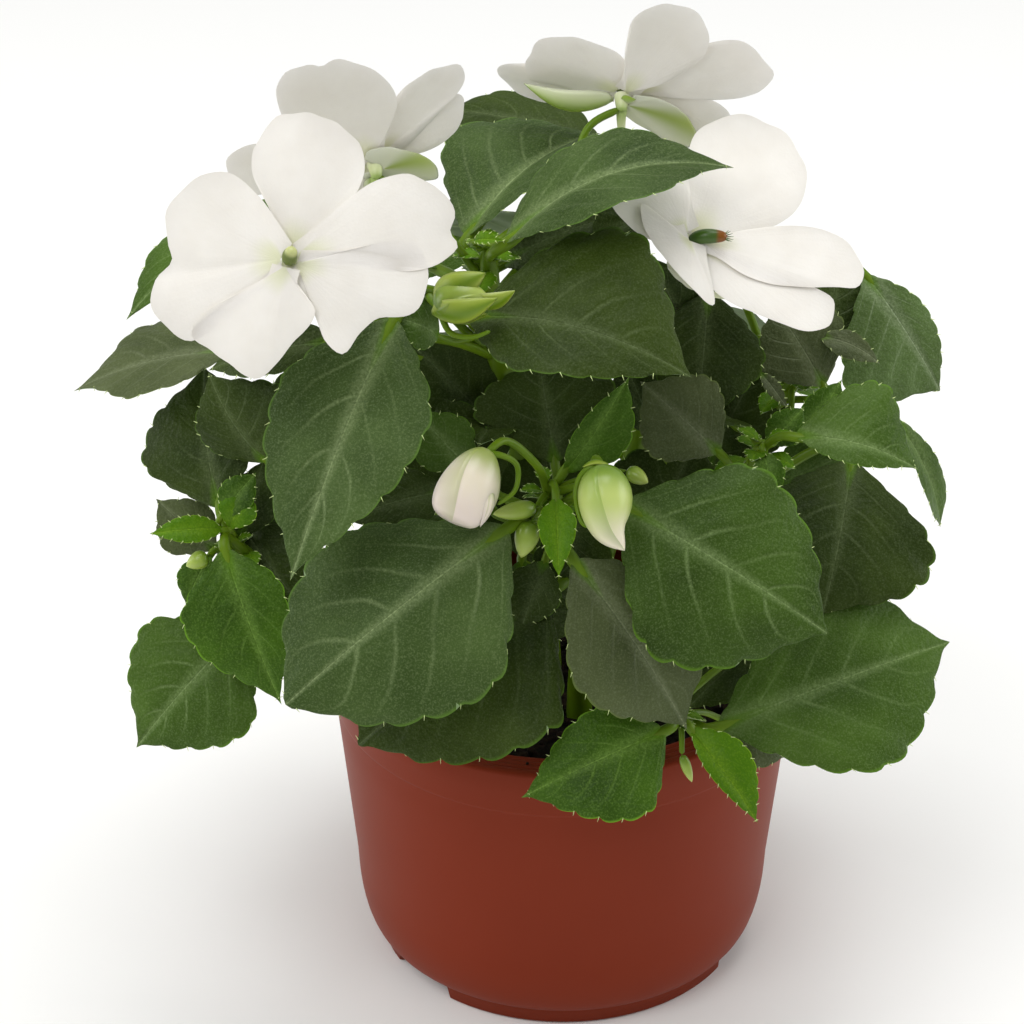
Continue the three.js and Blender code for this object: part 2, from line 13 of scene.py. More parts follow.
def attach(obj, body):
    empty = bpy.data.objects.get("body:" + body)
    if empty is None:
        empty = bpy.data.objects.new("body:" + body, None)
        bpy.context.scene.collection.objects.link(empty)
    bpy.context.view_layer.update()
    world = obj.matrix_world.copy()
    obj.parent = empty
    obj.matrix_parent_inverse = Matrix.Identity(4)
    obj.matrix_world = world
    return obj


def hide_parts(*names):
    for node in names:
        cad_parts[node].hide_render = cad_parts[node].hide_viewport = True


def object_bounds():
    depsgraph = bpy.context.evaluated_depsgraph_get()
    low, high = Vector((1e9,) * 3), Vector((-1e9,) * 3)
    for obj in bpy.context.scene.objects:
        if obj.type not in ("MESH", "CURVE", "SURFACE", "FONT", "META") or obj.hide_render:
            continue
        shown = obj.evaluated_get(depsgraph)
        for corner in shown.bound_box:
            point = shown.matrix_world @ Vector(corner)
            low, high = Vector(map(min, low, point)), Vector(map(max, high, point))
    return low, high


MM = 0.001
CAMERA_PLACE = (-13.2, -742, 552.5)
CAMERA_LOOKS_DOWN = 30  # degrees


def add_object(name, data):
    """A new object in the scene."""
    made = bpy.data.objects.new(name, data)
    bpy.context.scene.collection.objects.link(made)
    return made


def add_camera():
    """Looks down on the plant from in front, from 0.9 m away."""
    lens = bpy.data.cameras.new("camera")
    lens.lens = 120
    lens.sensor_width = 36
    camera = add_object("camera", lens)
    camera.location = Vector(CAMERA_PLACE) * MM
    camera.rotation_euler = (math.radians(90 - CAMERA_LOOKS_DOWN), 0, 0)
    bpy.context.scene.camera = camera


add_camera()
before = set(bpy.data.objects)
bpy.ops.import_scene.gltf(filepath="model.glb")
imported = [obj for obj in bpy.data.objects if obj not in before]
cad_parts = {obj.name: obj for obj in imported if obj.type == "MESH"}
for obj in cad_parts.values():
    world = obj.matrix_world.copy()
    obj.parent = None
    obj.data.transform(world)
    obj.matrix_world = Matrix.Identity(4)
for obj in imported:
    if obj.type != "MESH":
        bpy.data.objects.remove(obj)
cad_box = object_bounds()

# ---------------------------------------------------------------- where things grow
SOIL_TOP = 72.3  # where the path of every shoot leaves the compost
ROOT_DEPTH = 6  # a stem starts this far under the top of the compost

# Each shoot: its bends from just above the compost to its tip, and its radius at the root and the tip.
SHOOTS = {
    "top": ([(-4, 4, 79), (-7, 0, 110), (-12, -10, 150), (-17, -18, 182), (-19, -25, 210)], (3.6, 2.2)),
    "left": ([(-16, -4, 79), (-38, -16, 94), (-64, -32, 118), (-80, -42, 140)], (3.2, 1.9)),
    "front": ([(4, -14, 79), (4, -24, 105), (-1, -36, 135), (-5, -43, 156)], (3.4, 2.0)),
    "right": ([(16, 0, 79), (24, -10, 105), (36, -22, 135), (47, -33, 162)], (3.4, 1.9)),
    "low": ([(16, -24, 78), (22, -42, 92), (25, -54, 100), (27, -65, 104)], (2.8, 1.7)),
    "far_right": ([(12, 12, 79), (30, 14, 110), (46, 8, 140), (58, 1, 163)], (3.2, 1.8)),
    "back_left": ([(-14, 14, 79), (-34, 34, 110), (-46, 46, 150), (-50, 50, 184)], (3.4, 1.9)),
    "back_right": ([(6, 20, 79), (18, 42, 115), (28, 54, 155), (30, 56, 190)], (3.4, 1.9)),
}


def leaf(name, shoot, at, base, tip, halves, facing, arch, slope, look="dark", broadest=(0.4, 0.4),
         point=1.0, teeth=9):
    """One leaf: the shoot it grows on and how far up, its blade from base to tip, the widths of its
    left and right halves, the way its upper side faces, how far it arches and the slope of its halves.
    Then its look, how far along each half is broadest, how drawn out its tip is (less is fuller) and
    the number of teeth on a side."""
    return dict(locals())


LEAVES = [
    leaf("leaf_top_big", "top", 0.84, (-23, -46, 202), (27, -62, 195), (29, 14.5), (0, -0.55, 0.83), 9, 0.1,
         "dark", (0.42, 0.28), 0.85),
    leaf("leaf_top_long", "top", 0.97, (-15, -34, 215), (37.5, -28, 231), (17, 17), (-0.25, -0.15, 0.95), 9,
         0.2, "dusty"),
    leaf("leaf_top_folded", "top", 0.91, (-24, -18, 209), (8, 12, 222), (25, 14), (-0.5, -0.3, 0.8), 5, 0.35,
         "dusty"),
    leaf("leaf_top_back", "top", 0.88, (10, 20, 213), (-33, 40, 215.5), (16, 14), (0, -0.2, 0.98), 4, 0.1),
    leaf("leaf_left_big", "top", 0.78, (-40, -48, 203), (-63, -86, 156), (18.5, 19.5), (-0.15, -0.75, 0.64),
         4, 0.1, "dusty", (0.3, 0.33)),
    leaf("leaf_far_left", "top", 0.7, (-79, -24, 182), (-118, -22, 170), (15, 18), (-0.2, -0.1, 0.97), 3,
         0.12, "grey", point=1.4),
    leaf("leaf_left_up", "left", 0.97, (-83, -38, 147), (-87, -16, 174), (18.5, 15), (-0.4, -0.8, 0.4), 3,
         0.1, "dark", (0.32, 0.4), 0.9),
    leaf("leaf_left_dark", "top", 0.45, (-71, -41, 161), (-84, -37, 183), (10.5, 18), (-0.45, -0.8, 0.35), 3,
         0.1),
    leaf("leaf_front_left_big", "front", 0.85, (-14, -62, 156), (-65, -88, 124), (27.5, 25),
         (-0.15, -0.8, 0.6), 6, -0.2, "dusty", (0.3, 0.45), 0.55),
    leaf("leaf_front_under", "front", 0.55, (-5, -56, 134), (-49.6, -70.0, 100.8), (27.6, 23),
         (-0.05, -0.75, 0.65), 5, 0.1, "dark", (0.2, 0.4), 0.7),
    leaf("leaf_front_grey", "front", 0.7, (1, -65, 149), (28, -71, 106), (20, 18), (0, -0.6, 0.8), 4, 0.1,
         "grey"),
    leaf("leaf_front_right_big", "front", 0.9, (12, -60, 161), (60, -70, 132), (25, 27), (0.05, -0.8, 0.6), 5,
         -0.06, "deep", (0.32, 0.32), 0.75),
    leaf("leaf_right_low", "low", 0.78, (36, -60, 99), (94, -34, 107), (23, 24.5), (0.1, -0.7, 0.7), 5, 0.1,
         "mid", (0.58, 0.45)),
    leaf("leaf_right_dark", "right", 0.72, (70, -12, 146), (62, -40, 119), (25, 23), (0.1, -0.9, 0.4), 3, 0.1,
         "dark", (0.42, 0.42), 0.6),
    leaf("leaf_right_bright", "right", 0.96, (53, -40, 168), (82, -44, 161), (18, 6), (0.1, -0.6, 0.8), 5,
         0.1, "mid"),
    leaf("leaf_far_right_up", "far_right", 0.94, (65, 10, 165), (67, 24, 184), (13, 13), (0.1, -0.9, 0.4), 3,
         0.1, "dark"),
    leaf("leaf_far_right_out", "far_right", 0.8, (74.3, 18.0, 181.6), (93.5, 10.0, 153.2), (8, 22),
         (0.2, -0.85, 0.45), 3, 0.1, "pale", (0.4, 0.5), 0.8),
    leaf("leaf_right_edge", "far_right", 0.7, (80, -8, 156), (94, -4, 122), (5, 5.5), (0.7, -0.5, 0.3), 3,
         0.3, "mid", (0.6, 0.6)),
    leaf("leaf_right_grey", "far_right", 0.88, (63, -6, 163), (50, 4, 181), (12.5, 12.5), (0, -0.8, 0.6), 3,
         0.1, "grey"),
    leaf("leaf_centre_dark", "right", 0.6, (34, -8, 190), (31, -26, 163), (15, 14), (0, -0.8, 0.6), 3, 0.1),
    leaf("leaf_centre_back", "front", 0.8, (-3, -34, 157), (-7, -14, 176), (18, 18), (0, -0.8, 0.6), 3, 0.1),
    leaf("leaf_centre_grey", "right", 0.8, (36, -36, 161), (17, -30, 177), (12, 12), (-0.1, -0.8, 0.6), 3,
         0.1, "grey"),
    leaf("leaf_left_heart", "left", 0.9, (-81, -50, 143), (-68, -62, 107), (11, 16), (-0.1, -0.9, 0.4), 3,
         0.1, "bright", (0.27, 0.27), 1.1),
    leaf("leaf_left_low", "left", 0.6, (-78, -45, 118), (-104.5, -52, 88), (19, 18.5), (-0.1, -0.8, 0.6), 4,
         0.08, "mid", (0.3, 0.3)),
    leaf("leaf_left_round", "left", 0.62, (-80, -31, 142), (-64, -46, 125), (14, 14), (-0.1, -0.85, 0.5), 3,
         0.1, "dark", point=0.8),
    leaf("leaf_low_left", "low", 0.94, (23, -70, 105), (-11, -79, 92), (17, 12), (0, -0.75, 0.65), 4, 0.12,
         "bright", (0.25, 0.25)),
    leaf("leaf_low_right", "low", 0.97, (29, -68, 104.5), (45, -78, 84), (8, 3.5), (0.2, -0.8, 0.5), 3, 0.15,
         "young", (0.35, 0.35)),
    leaf("leaf_back_left", "back_left", 0.8, (-60, 56, 160), (-88, 74, 132), (23, 23), (-0.5, 0.6, 0.6), 5,
         0.1, "mid"),
    leaf("leaf_back_middle", "back_left", 0.9, (-40, 62, 178), (-24, 92, 146), (23, 23), (0.1, 0.8, 0.6), 5,
         0.1),
    leaf("leaf_back_right", "back_right", 0.8, (42, 58, 168), (76, 62, 140), (23, 23), (0.6, 0.5, 0.6), 5,
         0.1, "mid"),
    leaf("leaf_back_low", "back_right", 0.5, (22, 62, 128), (8, 84, 92), (23, 23), (0, 0.8, 0.6), 5, 0.1),
]


def small_leaf(shoot, at, base, tip, halves, facing, look="young", arch=2, slope=0.15, teeth=6, **shape):
    """A leaf that is one piece with the stem of its shoot."""
    return leaf("small", shoot, at, base, tip, halves, facing, arch, slope, look, teeth=teeth, **shape)


def back_leaf(shoot, at, base, tip, half, facing):
    """A grown leaf on the far side of the plant, of one piece with the stem of its shoot."""
    return small_leaf(shoot, at, base, tip, (half, half), facing, "mid", 4, teeth=9)


SMALL_LEAVES = [
    # Young leaves at the tips.
    small_leaf("front", 0.97, (-1, -44, 160), (14, -41, 184), (4.5, 9), (0.3, -0.85, 0.4), "bright"),
    small_leaf("front", 1.0, (-3, -57, 161), (-2.4, -71, 146.8), (4.6, 4.6), (0, -0.95, 0.3), slope=0.3,
               point=1.3, broadest=(0.3, 0.3)),
    small_leaf("left", 0.99, (-81, -46, 146), (-98.5, -50, 147), (3.5, 3.5), (0, -0.7, 0.7), teeth=8),
    small_leaf("left", 0.97, (-82, -45, 149), (-73.5, -40, 158), (4.5, 4.5), (-0.2, -0.9, 0.3), "bright"),
    small_leaf("left", 0.98, (-80, -46, 146), (-75, -42, 155), (5, 5), (-0.2, -0.9, 0.3)),
    small_leaf("top", 0.99, (-22.4, -31, 214), (-14.5, -35, 215.8), (1.9, 1.2), (0.1, -0.8, 0.6), point=1.4),
    # Leaves in the shade of the others, most of them given the dark look as painted shade, and half-grown
    # ones near the tips.
    small_leaf("top", 0.86, (-16, -12, 199), (17, -6, 210), (13, 13), (0, -0.6, 0.8), "dark", 4, teeth=8),
    small_leaf("top", 0.8, (5, -15, 205), (20, -12, 212), (7, 8), (0, -0.6, 0.8), "dark"),
    small_leaf("top", 0.6, (-18, -18, 160), (-39, -18, 183), (12, 12), (-0.2, -0.8, 0.5), "dark", teeth=8),
    small_leaf("front", 0.85, (-19, -28, 142), (-34, -20, 169), (14, 14), (-0.2, -0.8, 0.5), "dark", teeth=8),
    small_leaf("front", 0.6, (-4, -22, 120), (-5, -6, 151), (21, 21), (0, -0.8, 0.6), "dark", 4, teeth=9),
    small_leaf("front", 0.7, (-23, -35, 156), (-36, -33, 171), (8, 8), (-0.2, -0.8, 0.5), "mid"),
    small_leaf("front", 0.6, (-11, -40, 134), (-9, -46, 107), (12, 12), (0, -0.8, 0.6), "dark", teeth=8),
    small_leaf("right", 0.75, (35, 2, 135), (49, 8, 166), (15, 15), (0.1, -0.85, 0.5), "dark", teeth=8),
    small_leaf("right", 0.5, (20, -20, 125), (32, -12, 153), (16, 16), (0, -0.8, 0.6), "dark", teeth=8),
    small_leaf("right", 0.8, (52, -4, 134), (74, -2, 144), (10, 10), (0.1, -0.8, 0.6), "mid", teeth=8),
    small_leaf("left", 0.9, (-85, -30, 131), (-99, -28, 144), (8, 8), (-0.3, -0.8, 0.5), "grey"),
    small_leaf("left", 0.7, (-63, -40, 134), (-67, -44, 107), (9, 9), (-0.3, -0.8, 0.5), "dark", teeth=8),
    small_leaf("left", 0.6, (-65, -20, 147), (-56, -20, 180), (13, 13), (-0.3, -0.8, 0.5), "dark", teeth=8),
    small_leaf("low", 0.9, (41, -47, 91), (54, -46, 81), (7, 7), (0.3, -0.8, 0.5), "grey"),
    small_leaf("back_left", 0.97, (-70, 26, 198), (-106, -8, 182), (13, 13), (-0.5, -0.3, 0.8), "mid", 4,
               teeth=8),
    small_leaf("top", 0.75, (-53, -48, 197), (-84, -36, 183), (7, 8), (-0.2, -0.6, 0.8), "dark", 3, teeth=8),
    small_leaf("top", 0.8, (-29.8, -42, 195), (-40, -46, 202), (6, 7), (0, -0.7, 0.7), "mid"),
    small_leaf("front", 0.85, (-28, -38, 152), (-53, -44, 147), (9, 9), (0, -0.6, 0.8), "dark", 3, teeth=8),
    small_leaf("front", 0.9, (0.5, -46, 150), (1.7, -52, 128), (10, 10), (0, -0.9, 0.4), "dark", teeth=8),
    small_leaf("front", 0.9, (-5.4, -53.0, 141.7), (-11.1, -62.0, 127.9), (7, 8), (-0.1, -0.85, 0.5), "dark",
               teeth=8),
    small_leaf("left", 0.93, (-85, -44, 138), (-91, -48, 126), (5, 5), (-0.2, -0.9, 0.4), "bright"),
    small_leaf("left", 0.9, (-78, -40, 140), (-72, -33, 158), (6, 7), (0, -0.9, 0.4), "dark"),
    small_leaf("far_right", 0.95, (56.5, -18, 155), (66.5, -12, 168), (5, 5), (0.1, -0.9, 0.4), "bright"),
    small_leaf("far_right", 0.95, (61.2, -2.0, 174.9), (76.2, -6.0, 169.1), (3.5, 4.5), (0.1, -0.6, 0.8),
               "grey", 3),
    small_leaf("far_right", 0.97, (47, -8, 168), (53.6, -14, 161), (2, 2), (0.1, -0.9, 0.4), "grey"),
    small_leaf("right", 0.97, (47.4, -27, 158.5), (56.6, -24, 167), (4.5, 5), (0.1, -0.9, 0.4), "bright"),
    small_leaf("right", 1.0, (46, -36, 162), (48.5, -42, 151.5), (4, 4), (0.1, -0.9, 0.4), "bright"),
    small_leaf("low", 0.8, (47, -30, 104), (29, -45, 94), (8, 8), (0, -0.6, 0.8), "dark", teeth=8),
    small_leaf("top", 0.7, (32, -6, 171.6), (19, -10, 200.6), (9, 9), (0, -0.8, 0.6), "dark", teeth=8),
    small_leaf("right", 0.6, (21.5, -14, 154), (13.5, -6, 171), (8, 8), (0, -0.8, 0.6), "dark", teeth=8),
    # Grown leaves on the far side.
    back_leaf("top", 0.55, (-20, 8, 158), (-30, 48, 150), 17, (-0.2, 0.6, 0.8)),
    back_leaf("top", 0.7, (-4, 4, 178), (22, 40, 176), 16, (0.3, 0.5, 0.8)),
    back_leaf("top", 0.82, (-30, 0, 192), (-62, 26, 186), 16, (-0.4, 0.4, 0.8)),
    back_leaf("back_left", 0.7, (-60, 40, 150), (-87, 48, 138), 14, (-0.6, 0.2, 0.7)),
    back_leaf("back_left", 0.55, (-32, 62, 130), (-38, 90, 100), 17, (0, 0.8, 0.6)),
    back_leaf("back_left", 0.35, (-48, 44, 104), (-80, 56, 86), 16, (-0.6, 0.4, 0.7)),
    back_leaf("back_left", 0.25, (-16, 58, 100), (-22, 88, 78), 15, (0, 0.8, 0.6)),
    back_leaf("back_right", 0.7, (34, 66, 150), (48, 89, 118), 15, (0.3, 0.8, 0.5)),
    back_leaf("back_right", 0.6, (44, 44, 140), (80, 44, 126), 15, (0.7, 0.2, 0.6)),
    back_leaf("back_right", 0.35, (40, 50, 104), (74, 60, 84), 16, (0.6, 0.4, 0.7)),
]

# Leaves up and round a shoot: how many, from which share of it to which, the first one's direction
# in degrees, the length of the lowest one's stalk and blade, and their look.
WHORLS = [
    ("back_left", 7, 0.3, 0.9, 60, 16, 38, "mid"),
    ("back_right", 8, 0.3, 0.95, 20, 16, 38, "mid"),
    ("far_right", 5, 0.35, 0.8, 40, 12, 34, "dark"),
    ("left", 4, 0.35, 0.75, 150, 10, 32, "mid"),
    ("top", 5, 0.35, 0.7, 200, 12, 30, "dark"),
    ("front", 7, 0.93, 1.0, 0, 1.5, 9, "young"),
    ("left", 6, 0.93, 1.0, 30, 1.5, 8, "young"),
    ("right", 7, 0.92, 1.0, 60, 2, 11, "young"),
    ("far_right", 7, 0.92, 1.0, 90, 2, 11, "young"),
    ("top", 7, 0.94, 1.0, 120, 2, 10, "young"),
    ("low", 5, 0.93, 1.0, 20, 1.5, 7, "young"),
    ("back_left", 7, 0.9, 1.0, 80, 3, 16, "young"),
    ("back_right", 7, 0.9, 1.0, 10, 3, 16, "young"),
]


def petal(outline, layer, ripple=0.5, crease=None):
    """One petal: its outline as (degrees, millimetres) round the flower's centre, anticlockwise from
    the right as the face is seen, the height of its claw, how high its margin ripples, and the share
    of the outline where a crease runs."""
    return dict(locals())


UPRIGHT = Vector((0, 0.5, 0.87))  # every flower is turned so that the top of its face is this way
HIDDEN_POUCH = [(200, 5), (230, 9), (270, 12), (310, 9), (340, 5)]
LONG_SPUR = [(0, -1, -3), (-1, -8, -7), (-3, -17, -7), (-6, -24, -4)]
# Each open flower: the centre of its face, the way the face looks, the shoot it grows on and how far
# up, the bends of its stalk, the tip of its column in the face's own frame, the outline of its pouch,
# its spur, its small sepals (base and tip round the centre, width) and its petals.
FLOWERS = {
    "front_left": dict(
        centre=(-62, -66, 226), facing=(-0.1, -0.85, 0.5), shoot="top", at=0.74, bends=[(-42, -40, 212)],
        column=(1.4, 2.2, 4.4), pouch=HIDDEN_POUCH, spur=LONG_SPUR, sepals=[],
        dorsal=[petal([(112, 11), (113, 22), (103, 29), (88, 32.4), (70, 31.7), (55, 28.5), (45, 21),
                       (46, 12)], -1.2)],
        left_pair=[
            petal([(105, 8), (116, 16), (126, 24), (142, 28), (158, 29), (172, 27.4), (180, 26), (188, 30),
                   (198, 32), (210, 31), (220, 27), (224, 14)], 1.3, crease=0.55),
            petal([(221, 7), (212, 20), (217, 27), (236, 26), (255, 27), (270, 19.5), (298, 13), (290, 6)],
                  1.9),
        ],
        right_pair=[
            petal([(285, 6), (298, 13), (294, 19), (300, 24), (313, 22.5), (326, 23.5), (337, 30), (347, 31),
                   (357, 30.5), (8, 27), (10, 12)], 0.3),
            petal([(350, 10), (356, 30.5), (4, 37), (9, 36.4), (14, 38), (24, 36.5), (34, 33), (42, 26),
                   (46, 18), (52, 9)], 0),
        ],
    ),
    "back_left": dict(
        centre=(-45, -20, 229), facing=(-0.2, 0.95, 0.2), shoot="top", at=0.9, bends=[(-32, -26, 218)],
        column=(0, -2, 6), spur=LONG_SPUR,
        pouch=[(60, 5), (110, 6), (140, 7.5), (160, 10.5), (177, 14.1), (190, 15.5), (200, 12), (215, 8),
               (260, 5), (300, 4.2)],
        sepals=[((300, 3), (258, 8), 4)],
        dorsal=[petal([(103, 6), (98, 18), (84, 24.5), (70, 29.2), (63, 31.4), (58, 31.2), (54, 33), (44, 34),
                       (33, 30), (23, 22.5), (10, 12)], -1.2)],
        left_pair=[
            petal([(92, 5), (97, 15), (103, 22), (113, 28), (121, 31), (128, 29), (134, 20), (150, 9)], 0.7),
            petal([(130, 8), (132, 20), (132, 25), (141, 24.5), (155, 20), (168, 14), (180, 6)], 1.3),
        ],
        right_pair=[
            petal([(22, 6), (10, 26), (2, 33), (352, 34), (342, 31.5), (337, 24), (335, 10)], 0),
            petal([(345, 8), (335, 20), (318, 24), (298, 25), (278, 24), (262, 20), (250, 8)], 1.9),
        ],
    ),
    "top_right": dict(
        centre=(13, 8, 234), facing=(0.1, 0.93, 0.3), shoot="top", at=0.99,
        bends=[(0, -4, 217), (5, 1, 228.5)],
        column=(0, -2, 6), spur=[(0, -1, -3), (0.3, -4, -4.5), (0.6, -9, -5), (1, -13, -4)],
        pouch=[(180, 9), (195, 14), (213, 20), (226, 21.5), (235, 17), (240, 12), (250, 8)],
        sepals=[((90, 1), (173, 3.5), 2.5), ((18, 2), (15, 23.5), 7)],
        dorsal=[petal([(160, 6), (160, 12), (149, 24), (139, 28.8), (125, 31.3), (112, 29.6), (102, 24.5),
                       (98, 15), (95, 6)], -1.2)],
        left_pair=[
            petal([(150, 8), (146, 24), (153, 33), (164, 35), (176, 35.5), (183, 31), (190, 18), (195, 6)],
                  0.7),
            petal([(185, 6), (188, 17), (194, 25), (205, 27), (222, 23), (235, 14), (235, 5)], 1.3),
        ],
        right_pair=[
            petal([(340, 4), (355, 7), (8, 15), (12, 22), (22, 24), (38, 24.9), (53, 22), (75, 15.5),
                   (98, 10), (115, 4)], 0),
            petal([(330, 5), (345, 16), (353, 23), (5, 28), (15, 30.5), (20, 25), (24, 12)], 1.9),
        ],
    ),
    "front_right": dict(
        centre=(28, -30, 214), facing=(0.3, -0.6, 0.74), shoot="far_right", at=0.9, bends=[(40, 9, 187)],
        column=(7.4, -1, 4), pouch=HIDDEN_POUCH, sepals=[],
        spur=[(0, -1, -3), (3, -5, -8), (8, -8, -12), (14, -9, -13)],
        dorsal=[petal([(97, 8), (85, 18), (81, 26), (73, 32), (62, 37), (50, 40), (38, 38.5), (27, 35.5),
                       (18, 30), (11, 22), (6, 10)], -1.2)],
        left_pair=[
            petal([(82, 8), (88, 16), (105, 18.5), (128, 20), (143, 21), (154, 21.5), (166, 17.5), (180, 12),
                   (200, 6)], 0.8),
            petal([(150, 5), (146, 14), (168, 12.5), (190, 10.5), (223, 10), (250, 12), (266, 14.5),
                   (280, 17.5), (288, 8)], 1.9),
        ],
        right_pair=[
            petal([(8, 6), (10, 14), (8, 26), (4, 35), (358, 40.5), (350, 43), (344, 41.5), (341, 36),
                   (337, 30), (330, 23), (322, 15), (318, 7)], 0.7),
            petal([(348, 6), (337, 14), (338, 28), (337, 36), (331, 38.5), (322, 36.5), (316, 32), (309, 25),
                   (299, 19), (286, 13), (286, 6)], 0),
        ],
    ),
}

# Each bud: the bends of its body from base to tip, its width, how drawn out its tip is, the shoot it
# grows on and how far up, the bends of its stalk and of its spur, and its loose rims: the base and tip
# of each, its width and whether it is a petal.
BUDS = {
    "bud_left": dict(
        body=[(-18.6, -64, 177.6), (-22.5, -69, 172), (-26.8, -75, 164.8)], width=13.4, point=0.24,
        shoot="front", at=0.95, bends=[(-8, -55, 169), (-15, -60, 177.5)],
        spur=[(-15.9, -64, 176), (-12.1, -63, 172.8), (-12.5, -66, 168), (-16.6, -69, 165.8)],
        rims=[((-18.3, -71.5, 173), (-20.4, -77, 164.6), 3.4, True)],
    ),
    "bud_right": dict(
        body=[(8.1, -66, 174.5), (7.6, -72, 169), (8.8, -77, 164), (12.2, -80, 160.2)], width=11.8, point=0.9,
        shoot="front", at=0.97, bends=[(5, -53, 163), (6, -62, 174)],
        spur=[(4.5, -68, 174.9), (2, -68, 172), (1.4, -68, 166.5), (3, -72, 162.5), (6.1, -74, 162.9)],
        rims=[((8.6, -66, 175), (2.6, -68, 175), 3, False)],
    ),
    "bud_top": dict(
        body=[(-30.6, -53, 207.5), (-24, -54, 210.5), (-18.5, -55, 211.5)], width=9, point=0.75,
        shoot="top", at=0.8, bends=[(-32, -38, 203)],
        spur=[(-29, -54, 206), (-27, -56, 203), (-22, -58, 203), (-18, -59, 205)],
        rims=[((-31.2, -55, 207.3), (-16.5, -58, 212.7), 7, False),
              ((-30.8, -52, 209), (-19.1, -53, 216.5), 8, False),
              ((-22.6, -53, 208.6), (-12.5, -55, 213.1), 7, False),
              ((-30.4, -52, 207.6), (-18.7, -56, 207.7), 7, False)],
    ),
}

# Small green buds on the shoots: the shoot, how far up it, the base, tip and width.
SMALL_BUDS = [
    ("front", 0.97, (-7.6, -58, 158.7), (-17.6, -63, 159.9), 4.5),
    ("front", 0.97, (-8.8, -60, 156.3), (-11.1, -64, 148.8), 5.8),
    ("front", 0.98, (13.8, -48, 163.1), (18.4, -52, 161.9), 4),
    ("left", 0.98, (-84.9, -50, 141), (-90, -52, 139.4), 4.5),
    ("low", 1.0, (27.1, -70, 98), (29.6, -71, 90.9), 2.5),
]


# ---------------------------------------------------------------- materials
def linear(hex_colour):
    """An sRGB hex colour as the linear red, green, blue and alpha that shaders take."""
    channels = [int(hex_colour[i : i + 2], 16) / 255 for i in (1, 3, 5)]
    return [c / 12.92 if c <= 0.04045 else ((c + 0.055) / 1.055) ** 2.4 for c in channels] + [1.0]


def add(tree, kind, inputs, **settings):
    """Adds a shader node with its settings. Each input gets a plain value, a colour as sRGB hex,
    a node's output, or a node, which stands for the first of its outputs that is in use."""
    node = tree.nodes.new("ShaderNode" + kind)
    for name, value in settings.items():
        setattr(node, name, value)
    for socket, value in inputs.items():
        if isinstance(value, bpy.types.Node):
            value = next(output for output in value.outputs if output.enabled)
        if isinstance(value, bpy.types.NodeSocket):
            tree.links.new(value, node.inputs[socket])
        else:
            node.inputs[socket].default_value = linear(value) if isinstance(value, str) else value
    return node


def new_material(name):
    """An empty material and its node tree."""
    material = bpy.data.materials.new(name)
    material.use_nodes = True
    material.node_tree.nodes.clear()
    return material, material.node_tree


def finish(material, inputs):
    """Ends a material with one Principled shader and hands it back."""
    shader = add(material.node_tree, "BsdfPrincipled", inputs)
    add(material.node_tree, "OutputMaterial", {"Surface": shader})
    return material


SMOOTH = {"interpolation_type": "SMOOTHSTEP"}
# A Mix node that mixes colours, and the sockets that it then uses.
OF_COLOURS = {"data_type": "RGBA"}
FACTOR, COLOUR_A, COLOUR_B = 0, 6, 7
# Light goes a millimetre or so into waxy green tissue.
WAXY_DEPTH = {"Subsurface Weight": 0.2, "Subsurface Radius": (1.5 * MM, 1.5 * MM, 0.8 * MM),
              "Subsurface Scale": 1.0}


def clouded(tree, scale, detail, first, second):
    """A colour that drifts from one to another in soft clouds, and the place that they are drawn by."""
    place = add(tree, "TexCoord", {}).outputs["Object"]
    clouds = add(tree, "TexNoise", {"Vector": place, "Scale": scale, "Detail": detail})
    return add(tree, "Mix", {FACTOR: clouds, COLOUR_A: first, COLOUR_B: second}, **OF_COLOURS), place


def piece_uv(tree):
    """The UV map of a piece: its output, and its shares along and across."""
    uv = add(tree, "UVMap", {}, uv_map="UVMap").outputs[0]
    split = add(tree, "SeparateXYZ", {"Vector": uv})
    return uv, split.outputs["X"], split.outputs["Y"]


def blade_sockets(tree):
    """How far along a blade a point is, how far out to its margin, and its distance from the midrib in mm."""
    place = add(tree, "Attribute", {}, attribute_name="blade").outputs["Vector"]
    return add(tree, "SeparateXYZ", {"Vector": place}).outputs.values()


STALK_GREEN = "#4f740c"
SIDE_VEINS = 5.5  # on each half of a blade
VEIN_SWEEP = 0.36  # a side vein ends this far ahead of its start, as a share of the blade's length
VEIN_BEND = 1.2  # 1 is straight, and more curves it forward


